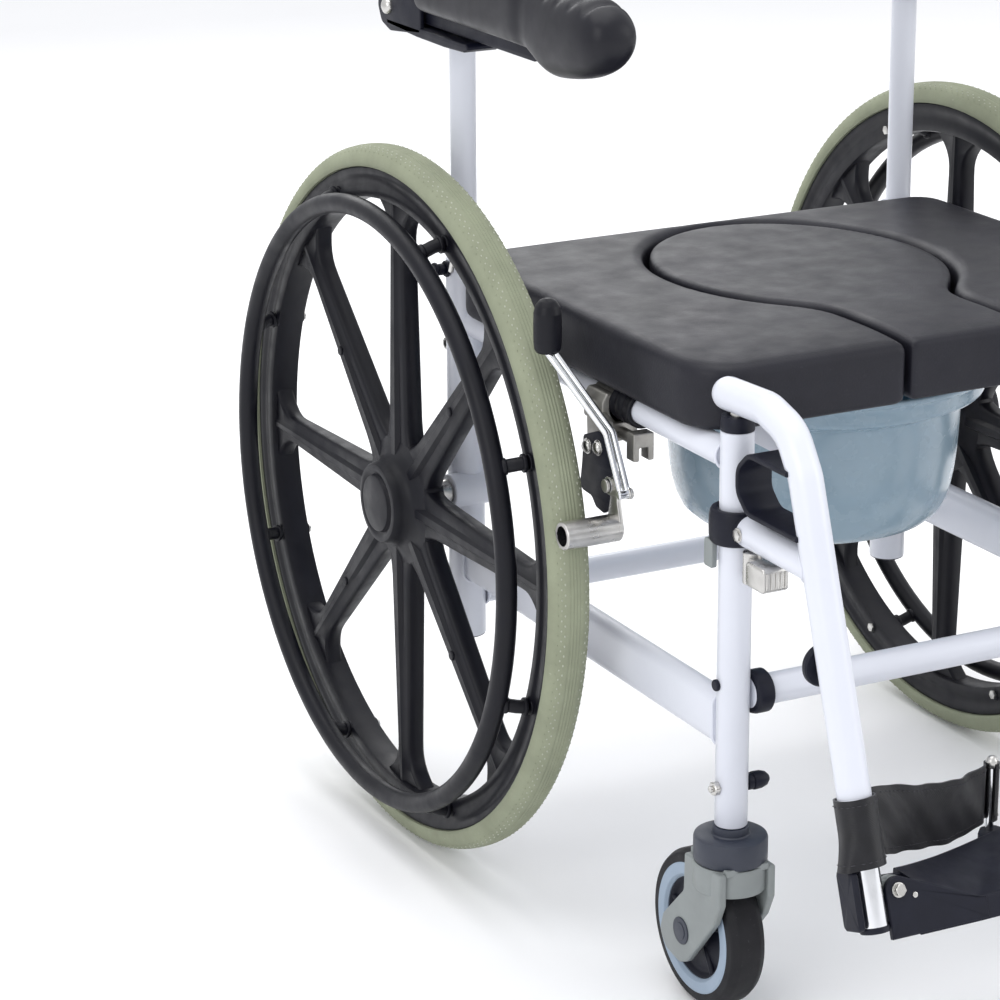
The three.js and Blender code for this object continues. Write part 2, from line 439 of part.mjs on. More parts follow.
// ---- legrest hangers ---------------------------------------------------------------
const HX = -221;
{
  const top = [V(HX, -427, 497.5), V(HX, -482, 500), V(HX, -514, 491), V(HX, -533.2, 463), V(HX, -608.2, 243)];
  const route = bend(top, 34, 3);
  let hanger = tube(route, TUBE_R, 12);
  const dome = new THREE.SphereGeometry(TUBE_R, 12, 6);
  dome.rotateX(Math.PI / 2);
  dome.translate(HX, -427, 497.5);
  hanger = hanger.add(solid(dome));
  hanger = hanger.add(rodZ(HX, POST_Y, 442, 494, 6, 12));
  // lower bracket tube welded to the drop tube, ending in a half saddle at the post
  hanger = hanger.add(tube([V(HX, -454, 400), V(HX, -553, 400)], TUBE_R - 0.2, 12));
  const saddle = turnedZ([[POST_R + 0.6, 387], [19, 387], [20, 391], [20, 410], [19, 414], [POST_R + 0.6, 414], [POST_R + 0.6, 387]], HX, POST_Y, 16)
    .subtract(box(HX + 5, HX + 30, POST_Y - 8, POST_Y + 30, 380, 420));
  hanger = hanger.add(saddle);
  // bore for the footrest tube
  const end = V(HX, -608.2, 243);
  const up = FOOT_DIR.clone().negate();
  const bore = rod(end.clone().add(FOOT_DIR.clone().multiplyScalar(10)), end.clone().add(up.clone().multiplyScalar(146)), bored(10.2, 12), 12);
  pair('hanger', hanger.subtract(bore), WHITE);

  // guard band looped from the drop tube to the lower bracket
  {
    const pts = bend([V(HX, -527, 465.5), V(HX, -478, 465.5), V(HX, -463.5, 452), V(HX, -463.5, 434), V(HX, -478, 421), V(HX, -541, 421)], 14, 2);
    const w = 15;
    const outer = pts.map((p, i) => p);
    const out2 = [], in2 = [];
    const r = new Route(outer);
    for (let i = 0; i < outer.length; i++) {
      const t = r.getTangent(i / (outer.length - 1));
      const n = V(0, -t.z, t.y);
      out2.push([outer[i].y + n.y * 2, outer[i].z + n.z * 2]);
      in2.push([outer[i].y - n.y * 2, outer[i].z - n.z * 2]);
    }
    const band = plateYZ(out2.concat(in2.reverse()), HX - w, HX + w);
    const clear = joined(tube(route, bored(TUBE_R, 12), 12), tube([V(HX, -454, 400), V(HX, -553, 400)], bored(TUBE_R - 0.2, 12), 12));
    pair('hanger_guard', band.subtract(clear), NAVY);
  }
  // swing release lever below the bracket
  {
    const lever = joined(
      rodZ(HX, -464, 362, 386, 7.5, 12),
      box(HX - 6, HX + 6, -490, -464, 370, 384),
      box(HX - 15, HX + 7, -504, -478, 366, 386));
    pair('release_lever', lever, STEEL);
  }
  // positions near the foot of the drop tube: x across, d down the tube, w behind it
  const back = V(0, -FOOT_DIR.z, FOOT_DIR.y);
  const along = (x, d, w) => V(x, end.y + FOOT_DIR.y * d + back.y * w, end.z + FOOT_DIR.z * d + back.z * w);
  const plateAlong = (pts, w0, w1) => {
    const g = new THREE.ExtrudeGeometry(shape2(pts), { depth: w1 - w0, bevelEnabled: false });
    g.applyMatrix4(new THREE.Matrix4().makeBasis(V(1, 0, 0), FOOT_DIR.clone(), back.clone()));
    g.translate(0, end.y + back.y * w0, end.z + back.z * w0);
    return solid(g);
  };
  const FX = -199.5, FD = 69.5;        // flip axis of the footplate
  const arc = (r, a0, a1, n) => Array.from({ length: n + 1 }, (_, i) => {
    const a = (a0 + (a1 - a0) * i / n) * Math.PI / 180;
    return [FX + r * Math.cos(a), FD + r * Math.sin(a)];
  });
  // telescopic footrest tube with a cheek plate outside and a hinge lug inside
  {
    let foot = rod(along(HX, -112, 0), along(HX, 96, 0), 10.2, 12);
    foot = foot.add(plateAlong([[-238, 51], [-236, 49], [-232.5, 49], [-232.5, 93], [-236, 93], [-238, 91]], -8, 14));
    foot = foot.add(plateAlong([[-234, 54], [-226, 54], [-226, 90], [-234, 90]], -4, 6));
    const lug = plateAlong(arc(10.5, 0, 337.5, 15), 0.5, 10).add(plateAlong([[-218, 61], [FX, 61], [FX, 78], [-218, 78]], 0.5, 10));
    foot = foot.add(lug).subtract(plateAlong(arc(bored(4, 12), 0, 330, 11), -3, 13));
    pair('footrest_tube', foot, STEEL);
  }
  // footplate: two hinge walls round the lug, sloped wedge body hollow below, strap post
  {
    const front = plateAlong(arc(10.2, 180, 293, 6).concat([[-134, 87.3], [-126, 88.5], [-126, 104.5], [FX - 10.2, 104]]), -5, 0);
    const rearWall = plateAlong(arc(10.2, 180, 275, 5).concat([[-184, 60.5], [-184, 100], [FX - 10.2, 100]]), 10.5, 16);
    const body = hull([along(-186, 65.1, -5), V(-186, -608, 182.5), along(-134, 87.3, -5), V(-24, -639.5, 160.5), V(-47, -544, 161), V(-24, -538, 160.5),
      V(-186, -646, 145), V(-186, -606, 145), V(-47, -544, 145), V(-24, -538, 145), V(-24, -643.5, 145)]);
    const under = hull([V(-176, -636, 139), V(-176, -614, 139), V(-60, -560, 139), V(-34, -552, 139), V(-34, -634, 139),
      V(-176, -633, 155.5), V(-176, -614, 155.5), V(-60, -560, 155.5), V(-34, -552, 155.5), V(-34, -631, 155.5)]);
    const pin = rod(along(FX, FD, -7), along(FX, FD, 15.5), 4, 12).add(rod(along(FX, FD, -9.5), along(FX, FD, -4.5), 6, 6));
    const ear = plateXY([[-62, -556], [-62, -536], [-52, -528], [-40, -530], [-36, -545]], 147, 156);
    const strapPost = rodZ(-50, -536, 150, 212, 3.2, 10).add(rodZ(-50, -536, 208, 217, 5, 10));
    pair('footplate', joined(front, rearWall, body.subtract(under), pin, ear, strapPost), NAVY);
  }
  // heel strap: band behind the heels from the tube to the post
  {
    const line = [[-200, -598.5, 218], [-176, -594, 213], [-155, -587, 208], [-128, -577, 201.5], [-96, -561.5, 194], [-70, -547.5, 190.5], [-59, -541.5, 189]];
    const ring4 = line.map(([x, y, z], i) => {
      const a = line[Math.max(i - 1, 0)], b = line[Math.min(i + 1, line.length - 1)];
      const run = V(b[0] - a[0], b[1] - a[1], b[2] - a[2]).normalize();
      const t = i / (line.length - 1);
      const up = FOOT_DIR.clone().negate().lerp(V(0, 0, 1), t);
      up.sub(run.clone().multiplyScalar(up.dot(run))).normalize();
      const side = new THREE.Vector3().crossVectors(up, run).normalize();
      const at = (u, s) => V(x, y, z).add(up.clone().multiplyScalar(u)).add(side.clone().multiplyScalar(s));
      return [at(23, 1.5), at(23, -1.5), at(-23, 1.5), at(-23, -1.5)];
    });
    let strap = hull([...ring4[0], ...ring4[1]]);
    for (let i = 1; i < ring4.length - 1; i++) strap = strap.add(hull([...ring4[i], ...ring4[i + 1]]));
    pair('heel_strap', strap, SATIN);
  }
}

// ---- wheel brakes ---------------------------------------------------------------------
{
  const BX = -247;                     // outer face of the brake plate
  const LY = -308, LZ = 398;           // common pivot of hand lever and shoe arm
  const railSpace = rodY(px, RAIL_Z, -440, 20, bored(RAIL_R, 16), 16);
  const clampBody = box(-241, -205, -271.5, -240, 434, 462.6).add(rodY(px, RAIL_Z, -301, -271.5, 14.5, 12)).subtract(box(-260, -190, -310, -230, 462.6, 480)).subtract(railSpace);
  const side = box(BX + 2, -238, -284, -252, 414, 447);
  const plate = plateYZ([[-251.3, 422.7], [-271.6, 430.4], [-295.8, 434.7], [-299.1, 423], [-301, 407], [-312, 405], [-317, 398], [-312, 390], [-303, 385], [-299, 377], [-285, 367], [-272, 369],
    [-265, 376], [-251, 377], [-244.5, 380], [-247, 387], [-249.3, 401]], BX, BX + 3);
  const bolts = joined(rodX(-259.1, 415.3, BX - 4.5, BX + 1, 5.5, 8), rodX(-276.2, 418.4, BX - 4.5, BX + 1, 5.5, 8),
    rodX(-262, 428, -242, -208, 4, 8), rodX(-262, 428, -213.5, -207, 7, 6), rodX(LY, LZ, BX - 12.5, BX + 1, 3.2, 8));
  const nose = joined(rodY(-225, 427, -303, -262, 5, 10), box(-236, -214, -275, -246, 420, 436),
    box(-234, -216, -309, -297, 413, 435.5).subtract(box(-229, -221, -312, -302, 405, 425)));
  pair('brake_mount', joined(clampBody, side, plate, bolts, nose), CAST);

  // hand lever: link plate, cross bar and bent double rod with a grip over the tyre
  const r1 = bend([V(-256, -339, 400), V(-256, -315, 442.5), V(-279, -262, 497)], 12, 2);
  const r2 = bend([V(-262, -339, 400), V(-262, -315, 442.5), V(-285, -262, 497)], 12, 2);
  const grip = turnedZ([[0, 495.5], [9.5, 495.5], [11, 499], [11, 528], [9.5, 534], [5, 538], [0, 538.5]], -282, -258, 12);
  const link = plateYZ([[-303, 405], [-311, 405], [-341, 404], [-344, 400], [-341, 396], [-311, 391], [-303, 391]], -256.5, -252.4);
  const lever = joined(tube(r1, 2.4, 6), tube(r2, 2.4, 6), rodX(-339, 400, -264.5, -252.4, 3.5, 8), rodX(LY, LZ, -256.5, -252.4, 7, 10), link, grip)
    .subtract(rodX(LY, LZ, BX - 20, BX + 4, bored(3.2, 8), 8));
  pair('brake_lever', lever, STEEL);

  // shoe arm: hangs from the same pivot and carries the stub tube that bears on the tread
  const shoe = joined(
    rodX(-309.3, 363.5, -297, -248, 11, 12),
    plateYZ([[-303, 405], [-314.5, 405], [-315.5, 398], [-314, 386], [-318, 372], [-320, 362], [-312, 353], [-301, 355], [-298, 366], [-303, 386]], BX - 4.6, BX - 0.8))
    .subtract(rodX(LY, LZ, -262, -230, bored(3.2, 8), 8));
  pair('brake_shoe', shoe.subtract(rodX(-309.3, 363.5, -300, -262, 8, 10)), STEEL);
}

// ---- armrests ---------------------------------------------------------------------------
{
  const PX = -256, PY = 42, PZ = 718;
  const collar = rodZ(rx, REAR_Y, 696, 728, 17, 18).add(box(-243, rx, REAR_Y - 12, REAR_Y + 12, 698, 728));
  const web = box(-245, -241.4, -18, 62, 704, 736);
  const outerWall = plateYZ([[-18, 704], [40, 698], [56, 704], [62, 716], [60, 730], [52, 736], [-18, 736]], -271, -267.4);
  const floor = box(-271, -241.4, -104, 46, 704, 707.6);
  const pin = rodX(PY, PZ, -275, -241, 4, 10).add(rodX(PY, PZ, -275, -270, 7, 12));
  const bracket = joined(collar, web, outerWall, floor, pin).subtract(rodZ(rx, REAR_Y, 690, 740, bored(CANE_R, 12), 12));
  pair('arm_bracket', bracket, NAVY);

  const bar = plateYZ([[-208, 713], [-204, 710], [42, 710], [42, 723], [-208, 723]], PX - 8, PX + 8).add(rodX(PY, PZ, PX - 8, PX + 8, 9, 12))
    .subtract(rodX(PY, PZ, -290, -230, bored(4, 10), 10));
  pair('arm_bar', bar, STEEL);

  const padSide = [[-26, 723.4], [-26, 757], [-36, 767], [-200, 771], [-250, 774], [-290, 774], [-325, 770], [-343, 759], [-346, 746], [-338, 729], [-325, 719], [-300, 712], [-262, 707], [-244, 709], [-228, 716], [-213, 723.4]];
  const half = 21.5;
  const pad = joined(plateYZ(padSide, PX - 6 - half + 2, PX - 6 + half + 1), plateYZ([[-205, 752], [-250, 757], [-290, 758], [-325, 756], [-337, 746], [-326, 728], [-300, 720], [-262, 715], [-246, 718], [-225, 732]], PX - 6 - 27, PX - 6 + 22.5));
  pair('arm_pad', pad, SEATC);
}

chair.name = 'commode_chair';
export default chair;
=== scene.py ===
import math
import random
import bpy
import bmesh
from mathutils import Vector, Matrix
from mathutils.geometry import tessellate_polygon


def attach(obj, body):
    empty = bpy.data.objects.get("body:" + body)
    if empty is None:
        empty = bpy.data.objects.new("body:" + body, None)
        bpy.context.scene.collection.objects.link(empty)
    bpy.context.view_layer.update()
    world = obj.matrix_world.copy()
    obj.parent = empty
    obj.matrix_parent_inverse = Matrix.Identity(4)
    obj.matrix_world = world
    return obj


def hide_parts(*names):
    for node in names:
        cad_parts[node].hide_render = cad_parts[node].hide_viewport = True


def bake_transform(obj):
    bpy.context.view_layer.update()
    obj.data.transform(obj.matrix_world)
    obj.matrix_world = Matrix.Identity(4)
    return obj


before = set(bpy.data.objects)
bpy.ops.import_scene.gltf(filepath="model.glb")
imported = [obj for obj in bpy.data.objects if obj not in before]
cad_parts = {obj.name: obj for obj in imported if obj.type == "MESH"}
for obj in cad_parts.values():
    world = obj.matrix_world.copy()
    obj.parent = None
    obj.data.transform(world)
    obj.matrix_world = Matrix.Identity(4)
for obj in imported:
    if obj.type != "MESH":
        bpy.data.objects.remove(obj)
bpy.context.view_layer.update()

# Everything below is laid out in millimetres from the rear axle line (y) and the floor (z),
# with the sitter's right side at -x; W() turns that into the frame of the part, in metres.
Y0 = 173.0


def W(p):
    return (p[0] * 0.001, (p[1] + Y0) * 0.001, p[2] * 0.001)


# ------------------------------------------------------------------ node materials
def material(name, base, rough=0.5, metal=0.0, vary=0.10, vary_scale=18.0, tint=None,
             rough_vary=0.08, rough_scale=60.0, bumps=(), coat=0.0, coat_rough=0.15,
             sheen=0.0, transmission=0.0, ior=1.5, specular=0.5, sss=0.0, sss_radius=(0.01, 0.01, 0.01),
             edge=None, extra=None, aniso=0.0):
    m = bpy.data.materials.new(name)
    m.use_nodes = True
    nt = m.node_tree
    nt.nodes.clear()
    N, L = nt.nodes.new, nt.links.new
    out = N("ShaderNodeOutputMaterial")
    b = N("ShaderNodeBsdfPrincipled")
    L(b.outputs["BSDF"], out.inputs["Surface"])
    tc = N("ShaderNodeTexCoord")
    co = tc.outputs["Object"]
    n1 = N("ShaderNodeTexNoise")
    n1.inputs["Scale"].default_value = vary_scale
    n1.inputs["Detail"].default_value = 6.0
    n1.inputs["Roughness"].default_value = 0.6
    L(co, n1.inputs["Vector"])
    ramp = N("ShaderNodeValToRGB")
    lo = [max(c * (1 - vary), 0.0) for c in base]
    hi = [min(c * (1 + vary), 1.0) for c in base]
    if tint:
        hi = [min(c * (1 + vary * 0.5) * (1 - 0.35) + t * 0.35, 1.0) for c, t in zip(base, tint)]
    ramp.color_ramp.elements[0].position = 0.32
    ramp.color_ramp.elements[0].color = (*lo, 1)
    ramp.color_ramp.elements[1].position = 0.68
    ramp.color_ramp.elements[1].color = (*hi, 1)
    L(n1.outputs["Fac"], ramp.inputs["Fac"])
    colour = ramp.outputs["Color"]
    if edge:                       # fine speckle of dust or wear: (colour, scale, threshold, amount)
        ecol, escale, eth, eamt = edge
        n3 = N("ShaderNodeTexNoise")
        n3.inputs["Scale"].default_value = escale
        n3.inputs["Detail"].default_value = 8.0
        n3.inputs["Roughness"].default_value = 0.75
        L(co, n3.inputs["Vector"])
        mr = N("ShaderNodeMapRange")
        mr.inputs["From Min"].default_value = eth
        mr.inputs["From Max"].default_value = eth + 0.12
        mr.inputs["To Max"].default_value = eamt
        L(n3.outputs["Fac"], mr.inputs["Value"])
        mx = N("ShaderNodeMix")
        mx.data_type = 'RGBA'
        L(mr.outputs["Result"], mx.inputs[0])
        L(colour, mx.inputs[6])
        mx.inputs[7].default_value = (*ecol, 1)
        colour = mx.outputs[2]
    if extra:
        colour = extra(nt, co, colour)
    L(colour, b.inputs["Base Color"])
    b.inputs["Metallic"].default_value = metal
    n2 = N("ShaderNodeTexNoise")
    n2.inputs["Scale"].default_value = rough_scale
    n2.inputs["Detail"].default_value = 5.0
    L(co, n2.inputs["Vector"])
    rr = N("ShaderNodeMapRange")
    rr.inputs["From Min"].default_value = 0.3
    rr.inputs["From Max"].default_value = 0.7
    rr.inputs["To Min"].default_value = max(rough - rough_vary, 0.02)
    rr.inputs["To Max"].default_value = min(rough + rough_vary, 1.0)
    L(n2.outputs["Fac"], rr.inputs["Value"])
    L(rr.outputs["Result"], b.inputs["Roughness"])
    b.inputs["IOR"].default_value = ior
    b.inputs["Specular IOR Level"].default_value = specular
    b.inputs["Coat Weight"].default_value = coat
    b.inputs["Coat Roughness"].default_value = coat_rough
    b.inputs["Sheen Weight"].default_value = sheen
    b.inputs["Transmission Weight"].default_value = transmission
    if sss:
        b.inputs["Subsurface Weight"].default_value = sss
        b.inputs["Subsurface Radius"].default_value = sss_radius
        b.inputs["Subsurface Scale"].default_value = 1.0
    normal = None
    for kind, scale, dist, strength in bumps:
        if kind == 'cells':
            t = N("ShaderNodeTexVoronoi")
            t.feature = 'SMOOTH_F1'
            t.inputs["Scale"].default_value = scale
            t.inputs["Smoothness"].default_value = 0.35
            h = t.outputs["Distance"]
        elif kind == 'weave':
            # two crossed sets of ribs
            t = N("ShaderNodeTexWave")
            t.wave_type, t.bands_direction = 'BANDS', 'Z'
            t.inputs["Scale"].default_value = scale
            t.inputs["Distortion"].default_value = 0.4
            t2 = N("ShaderNodeTexWave")
            t2.wave_type, t2.bands_direction = 'BANDS', 'DIAGONAL'
            t2.inputs["Scale"].default_value = scale * 0.8
            L(co, t2.inputs["Vector"])
            mm = N("ShaderNodeMath")
            mm.operation = 'MULTIPLY'
            L(t.outputs["Fac"], mm.inputs[0])
            L(t2.outputs["Fac"], mm.inputs[1])
            h = mm.outputs[0]
        else:
            t = N("ShaderNodeTexNoise")
            t.inputs["Scale"].default_value = scale
            t.inputs["Detail"].default_value = 4.0
            t.inputs["Roughness"].default_value = 0.55
            h = t.outputs["Fac"]
        L(co, t.inputs["Vector"])
        bp = N("ShaderNodeBump")
        bp.inputs["Distance"].default_value = dist
        bp.inputs["Strength"].default_value = strength
        L(h, bp.inputs["Height"])
        if normal is not None:
            L(normal, bp.inputs["Normal"])
        normal = bp.outputs["Normal"]
    if normal is not None:
        L(normal, b.inputs["Normal"])
        if coat:
            L(normal, b.inputs["Coat Normal"])
    return m


POWDER = material("powder_coat_white", (0.66, 0.68, 0.75), 0.34, vary=0.025, vary_scale=9, rough_vary=0.05,
                  bumps=(('noise', 900, 0.00006, 0.35), ('noise', 160, 0.00012, 0.2)), coat=0.35, coat_rough=0.22,
                  edge=((0.62, 0.62, 0.66), 75, 0.64, 0.35))
NYLON = material("nylon_black_moulded", (0.0042, 0.0043, 0.0078), 0.43, vary=0.22, vary_scale=30, rough_vary=0.09,
                 bumps=(('noise', 1500, 0.00005, 0.5), ('noise', 140, 0.0002, 0.22)), specular=0.24,
                 edge=((0.05, 0.05, 0.065), 240, 0.66, 0.30))
NAVY = material("plastic_navy_textured", (0.0055, 0.0064, 0.0145), 0.48, vary=0.15, vary_scale=40, rough_vary=0.07,
                bumps=(('cells', 1400, 0.00006, 0.45), ('noise', 200, 0.0002, 0.2)), specular=0.24,
                edge=((0.05, 0.055, 0.075), 260, 0.66, 0.30))
TYRE = material("tyre_rubber_sage", (0.255, 0.275, 0.195), 0.78, vary=0.10, vary_scale=26, rough_vary=0.08,
                bumps=(('noise', 1300, 0.00012, 0.5), ('noise', 260, 0.0002, 0.3)), specular=0.25,
                edge=((0.60, 0.62, 0.55), 330, 0.62, 0.5))
TYRE_RIB = material("tyre_rubber_dots", (0.40, 0.42, 0.34), 0.75, vary=0.08, bumps=(('noise', 1300, 0.0001, 0.4),), specular=0.35)
SEAT = material("seat_integral_skin", (0.0115, 0.0115, 0.0175), 0.47, vary=0.16, vary_scale=14, rough_vary=0.07, rough_scale=35,
                bumps=(('cells', 620, 0.00022, 0.40), ('noise', 1600, 0.00008, 0.4), ('noise', 26, 0.0010, 0.16)), specular=0.27,
                edge=((0.045, 0.045, 0.055), 300, 0.60, 0.35))
ARM = material("arm_integral_skin", (0.0085, 0.0085, 0.0130), 0.40, vary=0.14, vary_scale=20, rough_vary=0.06,
               bumps=(('noise', 1400, 0.00007, 0.4), ('noise', 60, 0.0004, 0.15)), specular=0.27,
               edge=((0.04, 0.042, 0.052), 280, 0.64, 0.3))
PAIL = material("pail_polypropylene", (0.250, 0.345, 0.420), 0.26, vary=0.015, vary_scale=8, rough_vary=0.06,
                bumps=(('noise', 420, 0.0001, 0.25),), transmission=0.0, ior=1.49, coat=0.25, coat_rough=0.12,
                sss=0.12, sss_radius=(0.010, 0.014, 0.018))
WIRE = material("handle_plastic", (0.52, 0.60, 0.67), 0.35, vary=0.05, bumps=(('noise', 900, 0.00008, 0.3),), coat=0.2)
FORK = material("caster_fork_grey", (0.215, 0.235, 0.235), 0.42, vary=0.07, vary_scale=24, rough_vary=0.06,
                bumps=(('noise', 1000, 0.00008, 0.45), ('noise', 120, 0.0002, 0.2)), specular=0.5,
                edge=((0.16, 0.18, 0.20), 120, 0.64, 0.35))
SLATE = material("caster_cap_slate", (0.0260, 0.0310, 0.0480), 0.45, vary=0.14, bumps=(('noise', 1200, 0.00008, 0.45),),
                 edge=((0.07, 0.075, 0.09), 220, 0.64, 0.3))
TREAD = material("caster_tread_black", (0.0080, 0.0080, 0.0105), 0.60, vary=0.2, bumps=(('noise', 900, 0.00015, 0.5),), specular=0.3,
                 edge=((0.10, 0.10, 0.11), 300, 0.60, 0.4))
RING = material("caster_ring_bluegrey", (0.270, 0.340, 0.430), 0.45, vary=0.07, bumps=(('noise', 700, 0.0001, 0.35),))
CHROME = material("chrome_plate", (0.70, 0.71, 0.73), 0.14, metal=1.0, vary=0.05, vary_scale=60, rough_vary=0.07,
                  bumps=(('noise', 500, 0.00003, 0.3),), edge=((0.45, 0.45, 0.46), 180, 0.66, 0.4))
NICKEL = material("nickel_satin", (0.56, 0.55, 0.53), 0.30, metal=1.0, vary=0.08, vary_scale=80, rough_vary=0.10,
                  bumps=(('noise', 900, 0.00005, 0.5),), edge=((0.40, 0.39, 0.37), 200, 0.62, 0.4))
CAST = material("cast_zinc", (0.33, 0.32, 0.30), 0.42, metal=0.85, vary=0.12, vary_scale=70, rough_vary=0.12,
                bumps=(('noise', 520, 0.0003, 0.5), ('noise', 120, 0.0004, 0.3)), edge=((0.20, 0.19, 0.18), 160, 0.60, 0.5))
SATIN = material("webbing_satin_black", (0.0060, 0.0060, 0.0085), 0.36, vary=0.25, vary_scale=60, rough_vary=0.08,
                 bumps=(('weave', 330, 0.00018, 0.55), ('noise', 60, 0.0008, 0.18)), sheen=0.05, specular=0.34,
                 edge=((0.025, 0.025, 0.032), 300, 0.62, 0.35))
VINYL = material("back_coated_fabric", (0.0080, 0.0080, 0.0110), 0.50, vary=0.2, vary_scale=30, rough_vary=0.08,
                 bumps=(('weave', 260, 0.00030, 0.6), ('noise', 45, 0.0012, 0.2)), sheen=0.25,
                 edge=((0.07, 0.07, 0.085), 260, 0.62, 0.3))
THREAD = material("stitching_thread", (0.030, 0.030, 0.038), 0.6, vary=0.15, bumps=(('noise', 3000, 0.00008, 0.6),))


# ------------------------------------------------------------------ mesh building
def fillet2(poly, r, n=5, closed=True):
    """Round the corners of a 2-D outline; r is one radius or one for each corner."""
    out = []
    k = len(poly)
    for i, p in enumerate(poly):
        ri = r[i] if isinstance(r, (list, tuple)) else r
        if (not closed and i in (0, k - 1)) or ri <= 0:
            out.append(tuple(p))
            continue
        a = Vector(poly[i - 1]) - Vector(p)
        b = Vector(poly[(i + 1) % k]) - Vector(p)
        ang = a.angle(b)
        if ang > math.radians(176):
            out.append(tuple(p))
            continue
        t = min(ri / math.tan(ang / 2), a.length * 0.48, b.length * 0.48)
        s, e = Vector(p) + a.normalized() * t, Vector(p) + b.normalized() * t
        rr = t * math.tan(ang / 2)
        bis = (a.normalized() + b.normalized()).normalized()
        c = Vector(p) + bis * (rr / math.sin(ang / 2))
        a0 = math.atan2(s.y - c.y, s.x - c.x)
        a1 = math.atan2(e.y - c.y, e.x - c.x)
        d = (a1 - a0 + math.pi) % (2 * math.pi) - math.pi
        for j in range(n + 1):
            q = a0 + d * j / n
            out.append((c.x + rr * math.cos(q), c.y + rr * math.sin(q)))
    return out


def area2(poly):
    return 0.5 * sum(poly[i - 1][0] * poly[i][1] - poly[i][0] * poly[i - 1][1] for i in range(len(poly)))


def offset2(poly, d):
    """Move a dense closed outline inwards by d (outwards when negative); counter-clockwise input."""
    out = []
    k = len(poly)
    for i in range(k):
        p, a, b = Vector(poly[i]), Vector(poly[i - 1]), Vector(poly[(i + 1) % k])
        e1, e2 = (p - a), (b - p)
        if e1.length < 1e-9 or e2.length < 1e-9:
            out.append(tuple(p))
            continue
        n1, n2 = Vector((-e1.y, e1.x)).normalized(), Vector((-e2.y, e2.x)).normalized()
        m = n1 + n2
        if m.length < 1e-6:
            m = n1
        m.normalize()
        c = max(m.dot(n1), 0.35)
        out.append(tuple(p + m * (d / c)))
    return out


def bend3(pts, r, n=8):
    """Round the inner corners of a 3-D polyline."""
    pts = [Vector(p) for p in pts]
    out = [pts[0]]
    for i in range(1, len(pts) - 1):
        p = pts[i]
        a, b = pts[i - 1] - p, pts[i + 1] - p
        ang = a.angle(b)
        if ang > math.radians(178.5):
            out.append(p)
            continue
        t = min(r / math.tan(ang / 2), a.length * 0.49, b.length * 0.49)
        s, e = p + a.normalized() * t, p + b.normalized() * t
        for j in range(n + 1):
            u = j / n
            out.append(s * (1 - u) ** 2 + p * 2 * u * (1 - u) + e * u * u)
    out.append(pts[-1])
    clean = [out[0]]
    for q in out[1:]:
        if (q - clean[-1]).length > 0.05:
            clean.append(q)
    return clean


def densify(pts, step):
    out = [Vector(pts[0])]
    for a, b in zip(pts, pts[1:]):
        a, b = Vector(a), Vector(b)
        k = max(1, int(round((b - a).length / step)))
        out += [a.lerp(b, j / k) for j in range(1, k + 1)]
    return out


PLANES = {'YZ': (Vector((0, 1, 0)), Vector((0, 0, 1)), Vector((1, 0, 0))),
          'XY': (Vector((1, 0, 0)), Vector((0, 1, 0)), Vector((0, 0, 1))),
          'XZ': (Vector((1, 0, 0)), Vector((0, 0, 1)), Vector((0, -1, 0)))}


